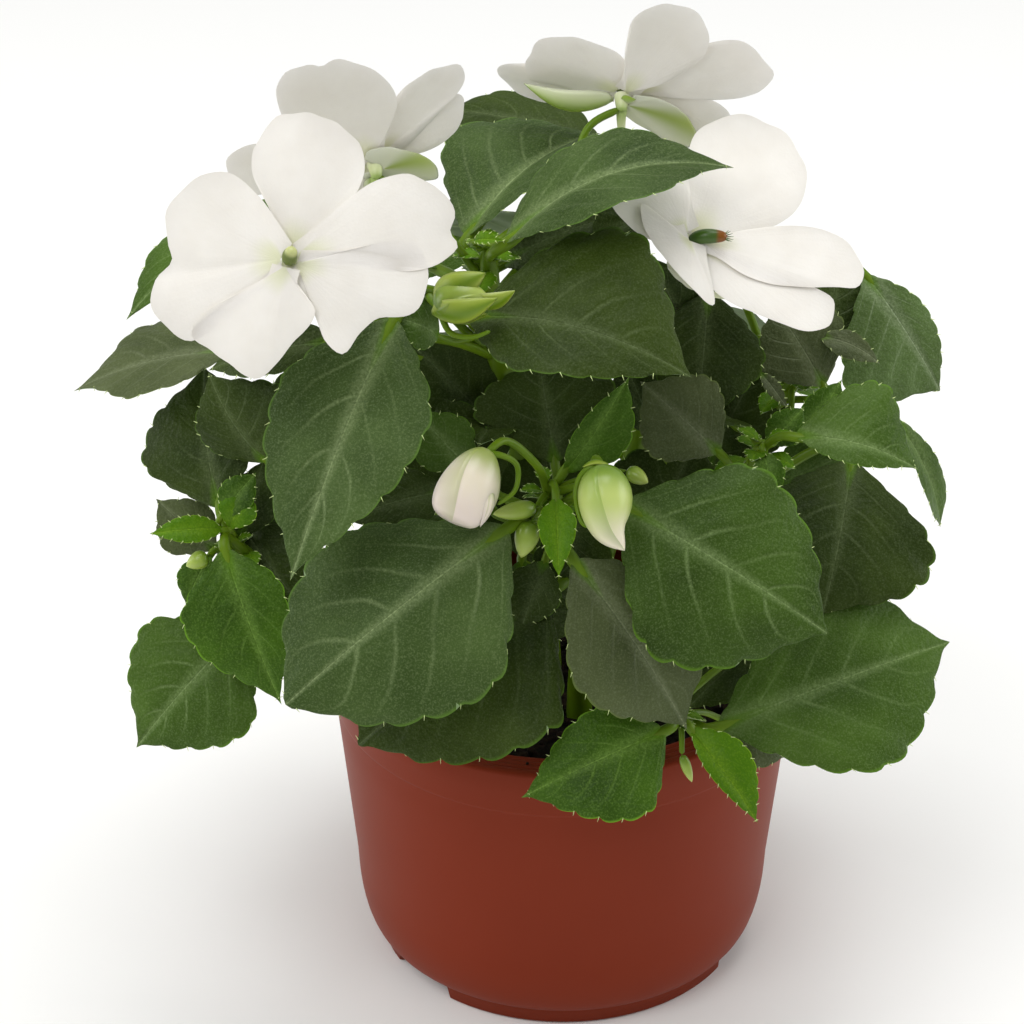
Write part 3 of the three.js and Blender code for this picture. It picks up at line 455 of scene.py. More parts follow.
def vein_mask(tree, along, out, from_midrib):
    """1 on the midrib and the side veins of a blade, 0 between them."""
    swept = add(tree, "Math", {0: out, 1: VEIN_BEND}, operation="POWER")
    start = add(tree, "Math", {0: swept, 1: -VEIN_SWEEP, 2: along}, operation="MULTIPLY_ADD")
    place = add(tree, "TexCoord", {}).outputs["Object"]
    stray = add(tree, "TexNoise", {"Vector": place, "Scale": 60, "Detail": 1})
    strayed = add(tree, "Math", {0: stray, 1: 0.09, 2: start}, operation="MULTIPLY_ADD")
    phase = add(tree, "Math", {0: strayed, 1: SIDE_VEINS}, operation="MULTIPLY")
    wave = add(tree, "Math", {0: phase, 1: 0.5}, operation="PINGPONG")
    side = add(tree, "MapRange", {"Value": wave, "From Min": 0.1, "From Max": 0.0}, **SMOOTH)
    # Side veins fade towards the margin, come and go along the blade, and stop short of its tip.
    fade = add(tree, "MapRange", {"Value": out, "From Min": 0.85, "From Max": 0.1, "To Max": 0.6})
    presence = add(tree, "MapRange", {"Value": stray, "From Min": 0.35, "From Max": 0.6, "To Min": 0.35})
    short = add(tree, "MapRange", {"Value": start, "From Min": 0.82, "From Max": 0.68})
    for weaker in (fade, presence, short):
        side = add(tree, "Math", {0: side, 1: weaker}, operation="MULTIPLY")
    thin = add(tree, "MapRange", {"Value": along, "From Max": 0.8, "To Min": 0.7, "To Max": 0.25})
    midrib = add(tree, "MapRange", {"Value": from_midrib, "From Min": thin, "From Max": 0.05}, **SMOOTH)
    # A broad soft band of crowded flecks runs beside the midrib and narrows towards the tip.
    broad = add(tree, "MapRange", {"Value": along, "From Max": 0.9, "To Min": 5.0, "To Max": 0.8})
    band = add(tree, "MapRange", {"Value": from_midrib, "From Min": broad, "From Max": 0.0, "To Max": 0.55},
               **SMOOTH)
    veins = midrib
    for other in (side, band):
        veins = add(tree, "Math", {0: veins, 1: other}, operation="MAXIMUM")
    return veins


def leaf_material(name, lamina, shade, veins, margin, vein_strength, gloss):
    """The upper side of a leaf: soft pale veins and fine pale flecks over green, with a yellower margin."""
    material, tree = new_material(name)
    along, out, from_midrib = blade_sockets(tree)
    place = add(tree, "TexCoord", {}).outputs["Object"]
    clouds = add(tree, "TexNoise", {"Vector": place, "Scale": 45, "Detail": 4})
    depth = add(tree, "MapRange", {"Value": clouds, "From Min": 0.3, "From Max": 0.7})
    # Fine flecks a third of a millimetre apart, in patches half a millimetre across, make the blade dusty.
    flecks = add(tree, "TexNoise", {"Vector": place, "Scale": 3000, "Detail": 2})
    patches = add(tree, "TexNoise", {"Vector": place, "Scale": 2000, "Detail": 1})
    dust = add(tree, "Math", {0: patches, 1: flecks}, operation="ADD")
    fleck = add(tree, "MapRange", {"Value": dust, "From Min": 0.95, "From Max": 1.35, "To Max": 0.17})
    # The pale veins are made of the same flecks, crowded together.
    mask = vein_mask(tree, along, out, from_midrib)
    streaks = add(tree, "TexNoise", {"Vector": place, "Scale": 1500, "Detail": 2})
    broken = add(tree, "MapRange", {"Value": streaks, "From Min": 0.35, "From Max": 0.65,
                                    "To Min": 0.4 * vein_strength, "To Max": vein_strength})
    vein = add(tree, "Math", {0: mask, 1: broken}, operation="MULTIPLY")
    rim = add(tree, "MapRange", {"Value": out, "From Min": 0.95, "From Max": 1.0, "To Max": 0.7}, **SMOOTH)
    # The stalk's fresh green runs into the start of the midrib.
    reach = add(tree, "MapRange", {"Value": along, "From Min": 0.22, "From Max": 0.02, "To Min": 0.4,
                                   "To Max": 2.6})
    heart = add(tree, "MapRange", {"Value": from_midrib, "From Min": reach, "From Max": 0.3, "To Max": 0.85},
                **SMOOTH)
    near = add(tree, "MapRange", {"Value": along, "From Min": 0.24, "From Max": 0.05})
    fresh = add(tree, "Math", {0: heart, 1: near}, operation="MULTIPLY")
    colour = shade
    for share, over in ((depth, lamina), (fleck, veins), (vein, veins), (rim, margin), (fresh, STALK_GREEN)):
        colour = add(tree, "Mix", {FACTOR: share, COLOUR_A: colour, COLOUR_B: over}, **OF_COLOURS)
    # The blade is finely pitted, and its veins are sunk.
    pits = add(tree, "TexNoise", {"Vector": place, "Scale": 800, "Detail": 4})
    height = add(tree, "Math", {0: mask, 1: -0.8, 2: pits}, operation="MULTIPLY_ADD")
    bump = add(tree, "Bump", {"Height": height, "Strength": 0.7, "Distance": 0.6 * MM})
    return finish(material, {"Base Color": colour, "Roughness": gloss, "IOR": 1.42,
                             "Specular IOR Level": 0.14, "Normal": bump})


def underside_material():
    """The lower side of a leaf: paler, matt grey-green with raised veins."""
    material, tree = new_material("leaf underside, pale and matt")
    mask = vein_mask(tree, *blade_sockets(tree))
    colour = add(tree, "Mix", {FACTOR: mask, COLOUR_A: "#6f8657", COLOUR_B: "#a3b77c"}, **OF_COLOURS)
    bump = add(tree, "Bump", {"Height": mask, "Strength": 0.5, "Distance": 0.4 * MM})
    return finish(material, {"Base Color": colour, "Roughness": 0.6, "Normal": bump})


def stalk_material():
    """Fleshy stalks and stems: juicy, bright green, slightly glossy and a little see-through."""
    material, tree = new_material("fleshy green stalk")
    colour, _ = clouded(tree, 120, 3, "#426004", "#6e8a16")
    return finish(material, {"Base Color": colour, "Roughness": 0.4, "IOR": 1.4, "Specular IOR Level": 0.3,
                             "Subsurface Weight": 0.2, "Subsurface Radius": (0.6 * MM, 1.0 * MM, 0.3 * MM),
                             "Subsurface Scale": 1.0})


def petal_material():
    """Petal tissue: a velvety warm white, papery close up, that turns greenish yellow at the claw."""
    material, tree = new_material("white petal tissue")
    white, place = clouded(tree, 110, 3, "#ddd7cd", "#efebe3")
    uv, along, _ = piece_uv(tree)
    claw = add(tree, "MapRange", {"Value": along, "From Min": 0.3, "From Max": 0.05, "To Max": 0.7}, **SMOOTH)
    colour = add(tree, "Mix", {FACTOR: claw, COLOUR_A: white, COLOUR_B: "#d3d6a8"}, **OF_COLOURS)
    # Faint veins fan out from the claw, some 60 to a petal, over a crinkle about 0.6 mm across.
    fan = add(tree, "VectorMath", {0: uv, 1: (1.5, 34, 0)}, operation="MULTIPLY")
    veins = add(tree, "TexNoise", {"Vector": fan, "Scale": 1.0, "Detail": 3})
    crinkle = add(tree, "TexNoise", {"Vector": place, "Scale": 1600, "Detail": 2})
    height = add(tree, "Math", {0: crinkle, 1: 0.6, 2: veins}, operation="MULTIPLY_ADD")
    bump = add(tree, "Bump", {"Height": height, "Strength": 0.16, "Distance": 0.4 * MM})
    return finish(material, {"Base Color": colour, "Roughness": 0.65, "Specular IOR Level": 0.3,
                             "Subsurface Weight": 0.25, "Subsurface Radius": (2 * MM, 1.9 * MM, 1.6 * MM),
                             "Subsurface Scale": 1.0, "Normal": bump})


def sepal_material(name, keel, blade, keel_place, keel_reach):
    """A thin waxy sepal, pale, with a green fold along it."""
    material, tree = new_material(name)
    _, _, across = piece_uv(tree)
    from_keel = add(tree, "Math", {0: across, 1: keel_place}, operation="SUBTRACT")
    off = add(tree, "Math", {0: from_keel}, operation="ABSOLUTE")
    fold = add(tree, "MapRange", {"Value": off, "From Min": keel_reach, "From Max": 0.0}, **SMOOTH)
    colour = add(tree, "Mix", {FACTOR: fold, COLOUR_A: blade, COLOUR_B: keel}, **OF_COLOURS)
    return finish(material, {"Base Color": colour, "Roughness": 0.4, "Specular IOR Level": 0.35,
                             **WAXY_DEPTH})


def bud_material(name, tip, middle, base, turn=(0.45, 0.95), seams=0.0):
    """Waxy tissue that turns from one colour at its base to another in its middle and at its tip.
    Where its petals wrap round each other a seam of the base's colour shows."""
    material, tree = new_material(name)
    _, along, across = piece_uv(tree)
    lower = add(tree, "MapRange", {"Value": along, "From Min": 0.05, "From Max": 0.45}, **SMOOTH)
    upper = add(tree, "MapRange", {"Value": along, "From Min": turn[0], "From Max": turn[1]}, **SMOOTH)
    turns = add(tree, "Math", {0: across, 1: 3}, operation="MULTIPLY")
    fold = add(tree, "Math", {0: turns}, operation="FRACT")
    seam = add(tree, "MapRange", {"Value": fold, "From Min": 0.6, "From Max": 1.0, "To Max": seams})
    colour = base
    for share, over in ((lower, middle), (upper, tip), (seam, base)):
        colour = add(tree, "Mix", {FACTOR: share, COLOUR_A: colour, COLOUR_B: over}, **OF_COLOURS)
    return finish(material, {"Base Color": colour, "Roughness": 0.28, "IOR": 1.42, **WAXY_DEPTH})


def plain_material(name, colour, roughness):
    """One colour all over."""
    return finish(new_material(name)[0], {"Base Color": colour, "Roughness": roughness})


def pot_material():
    """Injection-moulded polypropylene coloured terracotta: even, with a soft satin shine."""
    material, tree = new_material("moulded polypropylene, terracotta brown")
    colour, place = clouded(tree, 30, 4, "#752a14", "#7c2e17")
    # Moulded grain about 0.4 mm across.
    grain = add(tree, "TexNoise", {"Vector": place, "Scale": 2500, "Detail": 1})
    bump = add(tree, "Bump", {"Height": grain, "Strength": 0.12, "Distance": 0.1 * MM})
    return finish(material, {"Base Color": colour, "Roughness": 0.45, "IOR": 1.49, "Specular IOR Level": 0.1,
                             "Normal": bump})


def compost_material():
    """Damp peat compost: near black, crumbly and dull, with paler fibres."""
    material, tree = new_material("damp peat compost")
    place = add(tree, "TexCoord", {}).outputs["Object"]
    crumbs = add(tree, "TexNoise", {"Vector": place, "Scale": 420, "Detail": 5})
    light = add(tree, "MapRange", {"Value": crumbs, "From Min": 0.45, "From Max": 0.75})
    colour = add(tree, "Mix", {FACTOR: light, COLOUR_A: "#120c08", COLOUR_B: "#34241a"}, **OF_COLOURS)
    bump = add(tree, "Bump", {"Height": crumbs, "Strength": 0.8, "Distance": 1.2 * MM})
    return finish(material, {"Base Color": colour, "Roughness": 0.95, "Specular IOR Level": 0.2,
                             "Normal": bump})


UNDERSIDE = underside_material()
STALK = stalk_material()
BRISTLES = plain_material("translucent margin bristles", "#c3d48c", 0.5)
PETAL = petal_material()
POUCH = sepal_material("pouched sepal, whitish green", "#a0b162", "#d3d6bf", 0.6, 0.2)
SEPAL = sepal_material("bud sepal, yellow green with a paler rim", "#64820a", "#9cae40", 0.5, 0.5)
KEEL = sepal_material("green keel that fades into the white petal", "#86a534", "#dcdcc4", 0.0, 1.5)
CLOSED_BUD = bud_material("closed small bud, light green", "#a6b75c", "#889f3c", "#5f7d1c")
# Each look of a leaf: the name of its material, the colours of its blade, of the blade's shade, of its
# veins and of its margin, how clear the veins are, and its roughness.
LOOKS = {look: leaf_material(*row) for look, row in {
    # The dark look is partly painted shade. Besides the real dark green of old leaves, it darkens the leaves
    # deep inside the plant and under others to stand for the shade they are in.
    "dark": ("old leaf dark green, also painted shade deep in the plant", "#374713", "#1f2d08", "#75845a", "#4a6a1c", 0.5, 0.45),
    "dusty": ("old leaf, dusty green", "#475c2c", "#2d4017", "#9aac78", "#56782a", 0.7, 0.45),
    "mid": ("grown leaf, deep green", "#46611f", "#2f4610", "#8fa66c", "#587f1e", 0.65, 0.42),
    "deep": ("grown leaf, darker green", "#3d561a", "#283b0e", "#8fa66c", "#587f1e", 0.65, 0.42),
    "pale": ("grown leaf, grey green", "#5d7542", "#445829", "#a6b590", "#668a30", 0.7, 0.4),
    # The grey look is an old leaf's grey green with painted sheen in it. Its grey stands partly for the soft
    # greyish shine that these leaves catch at a grazing angle.
    "grey": ("old leaf grey green, with painted sheen", "#535d39", "#3a4425", "#8a9372", "#5f7034", 0.6, 0.42),
    "bright": ("half-grown leaf, fresh green", "#3f6010", "#2a440a", "#8bb052", "#6f9f26", 0.5, 0.42),
    "young": ("young leaf, light green", "#4f7a06", "#3b6104", "#86a92a", "#8db426", 0.5, 0.4),
}.items()}


# ---------------------------------------------------------------- shape helpers
def smoothstep(low, high, value):
    """0 at low, 1 at high, and a smooth rise between."""
    share = min(max((value - low) / (high - low), 0), 1)
    return share * share * (3 - 2 * share)


class Path:
    """A smooth curve through points, read by how far along it a place is."""

    STEPS = 14  # between one point and the next

    def __init__(self, points):
        points = [Vector(p) for p in points]
        ends = [2 * points[0] - points[1], *points, 2 * points[-1] - points[-2]]
        self.samples = []
        for before, start, end, after in zip(ends, ends[1:], ends[2:], ends[3:]):
            pairs = ((before, start), (start, end), (end, after))
            first, middle, last = [(b - a).length ** 0.5 for a, b in pairs]
            leaving = ((start - before) / first - (end - before) / (first + middle)
                       + (end - start) / middle) * middle
            arriving = ((end - start) / middle - (after - start) / (middle + last)
                        + (after - end) / last) * middle
            for i in range(self.STEPS):
                t = i / self.STEPS
                self.samples.append((2 * t**3 - 3 * t**2 + 1) * start + (t**3 - 2 * t**2 + t) * leaving
                                    + (3 * t**2 - 2 * t**3) * end + (t**3 - t**2) * arriving)
        self.samples.append(points[-1])
        self.reach = [0.0]
        for a, b in zip(self.samples, self.samples[1:]):
            self.reach.append(self.reach[-1] + (b - a).length)

    def at(self, share):
        """The point and direction at a share of the curve's length."""
        wanted = share * self.reach[-1]
        i = next((i for i, reach in enumerate(self.reach[1:]) if reach >= wanted), len(self.samples) - 2)
        step = self.samples[i + 1] - self.samples[i]
        return self.samples[i] + step * ((wanted - self.reach[i]) / step.length), step.normalized()


def start_mesh():
    """An empty bmesh with the layers that the materials read."""
    bm = bmesh.new()
    bm.loops.layers.uv.new("UVMap")
    bm.verts.layers.float_vector.new("blade")
    return bm


def bend_grid(bm, columns, rows, place, material=0):
    """Adds a grid of faces and bends it: place turns two shares, each 0 to 1, into a point in mm.
    place may also return the point's value for the blade layer."""
    made = bmesh.ops.create_grid(bm, x_segments=columns, y_segments=rows, size=0.5, calc_uvs=True)["verts"]
    layer = bm.verts.layers.float_vector["blade"]
    for vert in made:
        point = place(vert.co.x + 0.5, vert.co.y + 0.5)
        if isinstance(point, tuple):
            point, vert[layer] = point
        vert.co = point * MM
    for face in {face for vert in made for face in vert.link_faces}:
        face.material_index = material


def make_piece(name, bm, materials, slot, *stands_for, doubles=0.003):
    """Turns a closed bmesh into a smooth object that rides with the plant. Points nearer to each
    other than doubles, in mm, become one."""
    bmesh.ops.remove_doubles(bm, verts=bm.verts, dist=doubles * MM)
    bmesh.ops.recalc_face_normals(bm, faces=bm.faces)
    for face in bm.faces:
        face.smooth = True
    for edge in bm.edges:
        # Two skins of different slots, as those of a leaf or petal, meet in a crisp edge.
        slots = [face.material_index for face in edge.link_faces]
        if len(slots) == 2 and slots[0] != slots[1]:
            edge.smooth = False
    mesh = bpy.data.meshes.new(name)
    bm.to_mesh(mesh)
    bm.free()
    for material in materials:
        mesh.materials.append(material)
    piece = add_object(name, mesh)
    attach(piece, "root")
    if stands_for:
        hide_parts(*stands_for)
    return piece


def add_tube(bm, path, radius, columns, rows, material=0):
    """A closed round tube along a path. radius gives its radius at a share of the way along."""
    side = path.at(0)[1].orthogonal().normalized()
    rings = []
    for i in range(columns + 1):
        centre, along = path.at(i / columns)
        side = (side - along * side.dot(along)).normalized()
        rings.append((centre, side, along.cross(side)))

    def place(u, v):
        centre, side, up = rings[round(u * columns)]
        angle = -2 * math.pi * v
        size = 0 if u in (0, 1) else radius(u)
        return centre + size * (math.cos(angle) * side + math.sin(angle) * up)

    bend_grid(bm, columns, rows, place, material)


ROUNDED_END = 0.04  # as a share of a tube's length


def tapered(start, end):
    """A radius that goes evenly from start to end, rounded off at both ends."""
    def radius(u):
        return (start + (end - start) * u) * min(1, (min(u, 1 - u) / ROUNDED_END) ** 0.5)
    return radius


def outline(u, base_power, tip_power):
    """Width of an outline along its length, 1 at its widest."""
    widest = base_power / (base_power + tip_power)
    peak = widest**base_power * (1 - widest) ** tip_power
    return (max(u, 0) ** base_power * max(1 - u, 0) ** tip_power) / peak


# ---------------------------------------------------------------- leaves
BLADE_THICKNESS = 0.55
BLADE_STEPS = 80  # places along a blade at which its margin is measured
BASE_FULLNESS = 0.75  # of a blade's outline up to its broadest place: less is rounder
TIP_PINCH = 0.35  # how much narrower the last fifth of a blade gets towards its tip
FORWARD_SWEEP = 0.2  # the margin runs this far ahead of the midrib, as a share of the half width
NOTCH_DEPTH = 0.075  # as a share of the half width
VEIN_DEPTH = 0.035  # this, the wave, the droop and the twist are shares of the half width too
MARGIN_WAVE = 0.04
MARGIN_DROOP = 0.12
MOST_TWIST = 0.05
MARGIN_WAVES = 2.3  # along a blade
GROOVE_DEPTH = 0.35  # of the groove over the midrib
GROOVE_WIDTH = 1.1
GROWN_BLADE = 45  # mm: a leaf with a shorter blade has a thinner stalk and shorter bristles
PETIOLE_RADIUS = 1.35
BRISTLE_LENGTH = 1.35
# The material slots of a leaf. On a shoot the first of its leaves' looks is UPPER and the rest follow.
LOWER, STEM, BRISTLE, UPPER = 0, 1, 2, 3


def shoot_path(name, depth=0):
    """The path of a shoot, from where it leaves the compost, or from this deep in it, to its tip."""
    bends = [Vector(p) for p in SHOOTS[name][0]]
    root = Vector((bends[0].x, bends[0].y, SOIL_TOP - depth))
    return Path([root, *bends])


SHOOT_PATHS = {name: shoot_path(name) for name in SHOOTS}
GOLDEN_ANGLE = 137.5
Z = Vector((0, 0, 1))


def whorl(shoot, count, lowest, highest, first, stalk, length, look):
    """Leaves up a shoot, each a golden angle on from the one below it, a little shorter and steeper."""
    rows = []
    for i in range(count):
        share = i / (count - 1)
        at = lowest + (highest - lowest) * share
        azimuth = math.radians(first + GOLDEN_ANGLE * i)
        out = Vector((math.cos(azimuth), math.sin(azimuth), 0))
        size = length * (1 - 0.35 * share)
        base = SHOOT_PATHS[shoot].at(at)[0] + (out + Z * 0.4) * stalk * (1 - 0.4 * share)
        tip = base + out * size * 0.85 + Z * size * (0.8 * share - 0.45)
        rows.append(small_leaf(shoot, at, base, tip, (size * 0.34, size * 0.34), out * 0.5 + Z, look,
                               size * 0.1, teeth=5 if look == "young" else 8))
    return rows


SMALL_LEAVES += [row for place in WHORLS for row in whorl(*place)]


class Blade:
    """A leaf's blade: a bent spine, a toothed margin on each side of it and two skins between."""

    def __init__(self, spec):
        self.spec = spec
        self.base = Vector(spec["base"])
        self.tip = Vector(spec["tip"])
        self.facing = Vector(spec["facing"]).normalized()
        chord = self.tip - self.base
        self.length = chord.length
        raised = (self.facing - chord * (self.facing.dot(chord) / chord.length_squared)).normalized()
        self.middle = (self.base + self.tip) / 2 + raised * 2 * spec["arch"]
        seed = random.Random(f"{spec['name']}{spec['base']}{spec['tip']}")
        self.phase = seed.uniform(0, 1)
        self.twist = seed.uniform(-1, 1)
        steps = [i / BLADE_STEPS for i in range(BLADE_STEPS + 1)]
        self.margins = [[self.margin(u, side) for u in steps] for side in (0, 1)]
        self.reaches = []
        for margin in self.margins:
            reach = [0.0]
            for start, end in zip(margin, margin[1:]):
                reach.append(reach[-1] + (end - start).length)
            self.reaches.append([distance / reach[-1] for distance in reach])

    def spine(self, u):
        """A place on the midrib: its point, direction, the way to the left of it and its upper side."""
        point = (1 - u) ** 2 * self.base + 2 * u * (1 - u) * self.middle + u * u * self.tip
        along = ((1 - u) * (self.middle - self.base) + u * (self.tip - self.middle)).normalized()
        left = self.facing.cross(along).normalized()
        return point, along, left, along.cross(left)

    def half_width(self, u, side):
        """How far out the smooth margin is, left of the midrib (side 0) or right of it (side 1)."""
        widest = self.spec["broadest"][side]
        if u < widest:
            width = math.sin(math.pi / 2 * u / widest) ** BASE_FULLNESS
        else:
            width = max(math.cos(math.pi / 2 * (u - widest) / (1 - widest)), 0) ** self.spec["point"]
        return self.spec["halves"][side] * width * (1 - TIP_PINCH * smoothstep(0.82, 1, u))

    def margin(self, u, side):
        """The smooth margin laid flat: how far out it is, and how far along."""
        out = self.half_width(u, side)
        return Vector((out, u * self.length + out * FORWARD_SWEEP * (1 - u**3)))

    def bite(self, u, side):
        """How far the teeth cut into the margin at a place, as a move out and along."""
        place = min(u * BLADE_STEPS, BLADE_STEPS - 0.001)
        i = int(place)
        reach = self.reaches[side][i] + (self.reaches[side][i + 1] - self.reaches[side][i]) * (place - i)
        share = (reach * self.spec["teeth"] + 0.3) % 1
        crest = 1.25 * share**0.6 * (1 - share**4)
        step = self.margins[side][i + 1] - self.margins[side][i]
        depth = NOTCH_DEPTH * self.spec["halves"][side] * (1 - crest)
        depth *= smoothstep(0, 0.06, u) * smoothstep(1, 0.96, u)
        return Vector((-step.y, step.x)).normalized() * depth

    def notch(self, number, side):
        """How far along the blade the bottom of a notch is."""
        wanted = (number - 0.3) / self.spec["teeth"]
        i = next(i for i, reach in enumerate(self.reaches[side]) if reach >= wanted)
        return i / BLADE_STEPS

    def surface(self, u, v):
        """The point at a share along and a share across, and its place for the materials."""
        point, along, left, up = self.spine(u)
        across = 1 - 2 * v
        out = abs(across)
        side = 0 if across > 0 else 1
        half = self.half_width(u, side)
        bite = self.bite(u, side) * out**8
        reach = half * out + bite.x
        forward = half * FORWARD_SWEEP * out**1.5 * (1 - u**3) + bite.y
        vein_phase = (u - VEIN_SWEEP * out**VEIN_BEND) * SIDE_VEINS
        quilt = (0.5 - 0.5 * math.cos(2 * math.pi * vein_phase)) * VEIN_DEPTH * half
        quilt *= min(out * 4, 1) * (1 - out**4)
        droop = MARGIN_DROOP * half * out * out
        wave = MARGIN_WAVES * u + self.phase + 0.4 * side
        ripple = MARGIN_WAVE * half * out**3 * math.sin(2 * math.pi * wave)
        groove = GROOVE_DEPTH * math.exp(-((reach / GROOVE_WIDTH) ** 2)) * (1 - u)
        twist = MOST_TWIST * self.twist * across * half * u
        lift = self.spec["slope"] * reach - droop + quilt + ripple - groove + twist
        place = point + left * (1 - 2 * side) * reach + along * forward + up * lift
        return place, Vector((u, out, reach))

    def underside(self, u, v):
        """The point of the lower surface under the same place of the upper one."""
        place, mark = self.surface(u, v)
        up = self.spine(u)[3]
        thickness = BLADE_THICKNESS * (1 - mark.y**6) * min(1, 12 * min(u, 1 - u))
        return place - up * thickness, mark


def petiole_path(spec, blade):
    """The stalk's path from the heart of its shoot up to the blade, then on beneath its midrib."""
    root = SHOOT_PATHS[spec["shoot"]].at(spec["at"])[0]
    point, along, _, _ = blade.spine(0)
    away = (point - root).normalized()
    reach = (point - root).length * 0.4
    first = root + (away + Z * 0.3).normalized() * reach
    second = point - along * reach
    bends = []
    for i in range(1, 5):
        t = i / 5
        bends.append((1 - t) ** 3 * root + 3 * t * (1 - t) ** 2 * first
                     + 3 * t * t * (1 - t) * second + t**3 * point)
    under = []
    for u, depth in ((0.03, 1.1), (0.12, 1.6), (0.25, 1.5), (0.4, 1.1), (0.55, 0.8)):
        point, _, _, up = blade.spine(u)
        under.append(point - up * depth)
    return Path([root, *bends, *under])


def add_leaf(bm, spec, quality=1.0, upper=UPPER):
    """A whole leaf: both skins of its blade, its stalk and the bristles in its notches. A lower
    quality has fewer faces, and upper is the material slot of its upper side."""
    blade = Blade(spec)
    size = min(1, blade.length / GROWN_BLADE)
    columns = max(24, round(spec["teeth"] * 8 * quality))
    rows = 2 * max(4, round(9 * quality * (0.5 + 0.5 * size)))

    def crowded(u):
        # Columns stand closer near both ends, where the margin turns in.
        return u - 0.1 * math.sin(2 * math.pi * u)

    bend_grid(bm, columns, rows, lambda u, v: blade.surface(crowded(u), v), upper)
    bend_grid(bm, columns, rows, lambda u, v: blade.underside(crowded(u), 1 - v), LOWER)
    path = petiole_path(spec, blade)
    stout = PETIOLE_RADIUS * (0.35 + 0.65 * size)
    blade_share = (path.reach[-1] - blade.length * 0.55) / path.reach[-1]

    def radius(u):
        beyond = max(0, u - blade_share) / (1 - blade_share)
        swelling = 0.2 * math.exp(-(((u - blade_share) / 0.1) ** 2))
        return stout * (1 + swelling - 0.85 * beyond) * min(1, (1 - u) / 0.03)

    add_tube(bm, path, radius, max(10, round(28 * quality)), 8, STEM)
    for side in (0, 1):
        for number in range(1, spec["teeth"] + 1):
            u = blade.notch(number, side)
            foot = blade.surface(u, side)[0]
            out = foot - blade.surface(u, 0.5 + 0.35 * (2 * side - 1))[0]
            ahead = blade.surface(u + 0.03, side)[0] - foot
            lean = (out.normalized() + 0.7 * ahead.normalized()).normalized()
            add_bristle(bm, foot - lean * 0.3, lean, BRISTLE_LENGTH * (0.55 + 0.45 * size))


def add_bristle(bm, foot, direction, length, material=BRISTLE):
    """A tiny stiff hair, as in the notches of a leaf's margin."""
    turn = direction.to_track_quat("Z", "Y").to_matrix().to_4x4()
    centre = Matrix.Translation((foot + direction * length / 2) * MM)
    made = bmesh.ops.create_cone(bm, cap_ends=True, segments=3, radius1=0.17 * MM, radius2=0.04 * MM,
                                 depth=length * MM, matrix=centre @ turn)
    for face in {face for vert in made["verts"] for face in vert.link_faces}:
        face.material_index = material


def build_leaves():
    """The large leaves, each a piece of its own."""
    for spec in LEAVES:
        bm = start_mesh()
        add_leaf(bm, spec)
        make_piece(spec["name"] + "_blade", bm, [UNDERSIDE, STALK, BRISTLES, LOOKS[spec["look"]]], "leaf",
                   spec["name"])


# ---------------------------------------------------------------- stems
JOINT_SWELLING = 0.45
JOINT_REACH = 0.02  # as a share of the shoot's length
MOST_SWELLING = 0.6  # where several joints are close together


def build_shoots():
    """Each shoot's fleshy stem, swollen where its leaves join it, with its small leaves."""
    for name, (_, (thick, thin)) in SHOOTS.items():
        bm = start_mesh()
        small = [spec for spec in SMALL_LEAVES if spec["shoot"] == name]
        joints = [spec["at"] for spec in LEAVES + small if spec["shoot"] == name and spec["at"] < 0.9]
        looks = sorted({spec["look"] for spec in small})

        def radius(u):
            swelling = sum(JOINT_SWELLING * math.exp(-(((u - at) / JOINT_REACH) ** 2)) for at in joints)
            size = thick + (thin - thick) * u + min(swelling, MOST_SWELLING)
            return size * min(1, ((1 - u) / 0.03) ** 0.5)

        add_tube(bm, shoot_path(name, ROOT_DEPTH), radius, 70, 14, STEM)
        for spec in small:
            add_leaf(bm, spec, 0.6, UPPER + looks.index(spec["look"]))
        for shoot, at, base, tip, width in SMALL_BUDS:
            if shoot == name:
                root = SHOOT_PATHS[name].at(at)[0]
                add_tube(bm, Path([root, (root + Vector(base)) / 2 + Z, base]), tapered(0.8, 0.6), 12, 8,
                         STEM)
                add_tube(bm, Path([base, tip]), lambda u: width / 2 * outline(u, 0.45, 0.8), 16, 14,
                         UPPER + len(looks))
        uppers = [LOOKS[look] for look in looks]
        make_piece(f"shoot_{name}_stem", bm, [UNDERSIDE, STALK, BRISTLES, *uppers, CLOSED_BUD], "stem",
                   f"shoot_{name}")


# ---------------------------------------------------------------- flowers
PETAL_THICKNESS = 0.35
PETAL_SWELL = 0.4
CREASE_DEPTH = 0.6
FAN_HEIGHT = 0.6  # of the soft folds that fan out over a petal
EDGE_UNEVENNESS = 0.035  # as a share of how far out the edge is
SEPAL_THICKNESS = 0.4
THROAT_RADIUS = 1.8
THROAT_FLARE = 28  # degrees that a petal's foot spreads beyond each of its sides
POUCH_LAYER = -2.6  # behind the face, as are the small sepals
FLOWER_STALK = (1.1, 0.9)  # its radius at the shoot and at the flower or bud
# The material slots of a flower's stalk and what is of one piece with it.
STALK_SLOT, THROAT_SLOT, CAP_SLOT, POUCH_SLOT, SEPAL_SLOT = 0, 1, 2, 3, 4


def round_centre(angle, radius, height=0):
    """A point of a flower's face frame from its angle in degrees and its distance from the centre."""
    return Vector((math.cos(math.radians(angle)) * radius, math.sin(math.radians(angle)) * radius, height))


def face_frame(flower):
    """The frame of a flower's face: z looks out of it and y is its upright."""
    z = Vector(flower["facing"]).normalized()
    y = (UPRIGHT - z * UPRIGHT.dot(z)).normalized()
    x = y.cross(z)
    turn = Matrix((x, y, z)).transposed().to_4x4()
    return Matrix.Translation(Vector(flower["centre"])) @ turn


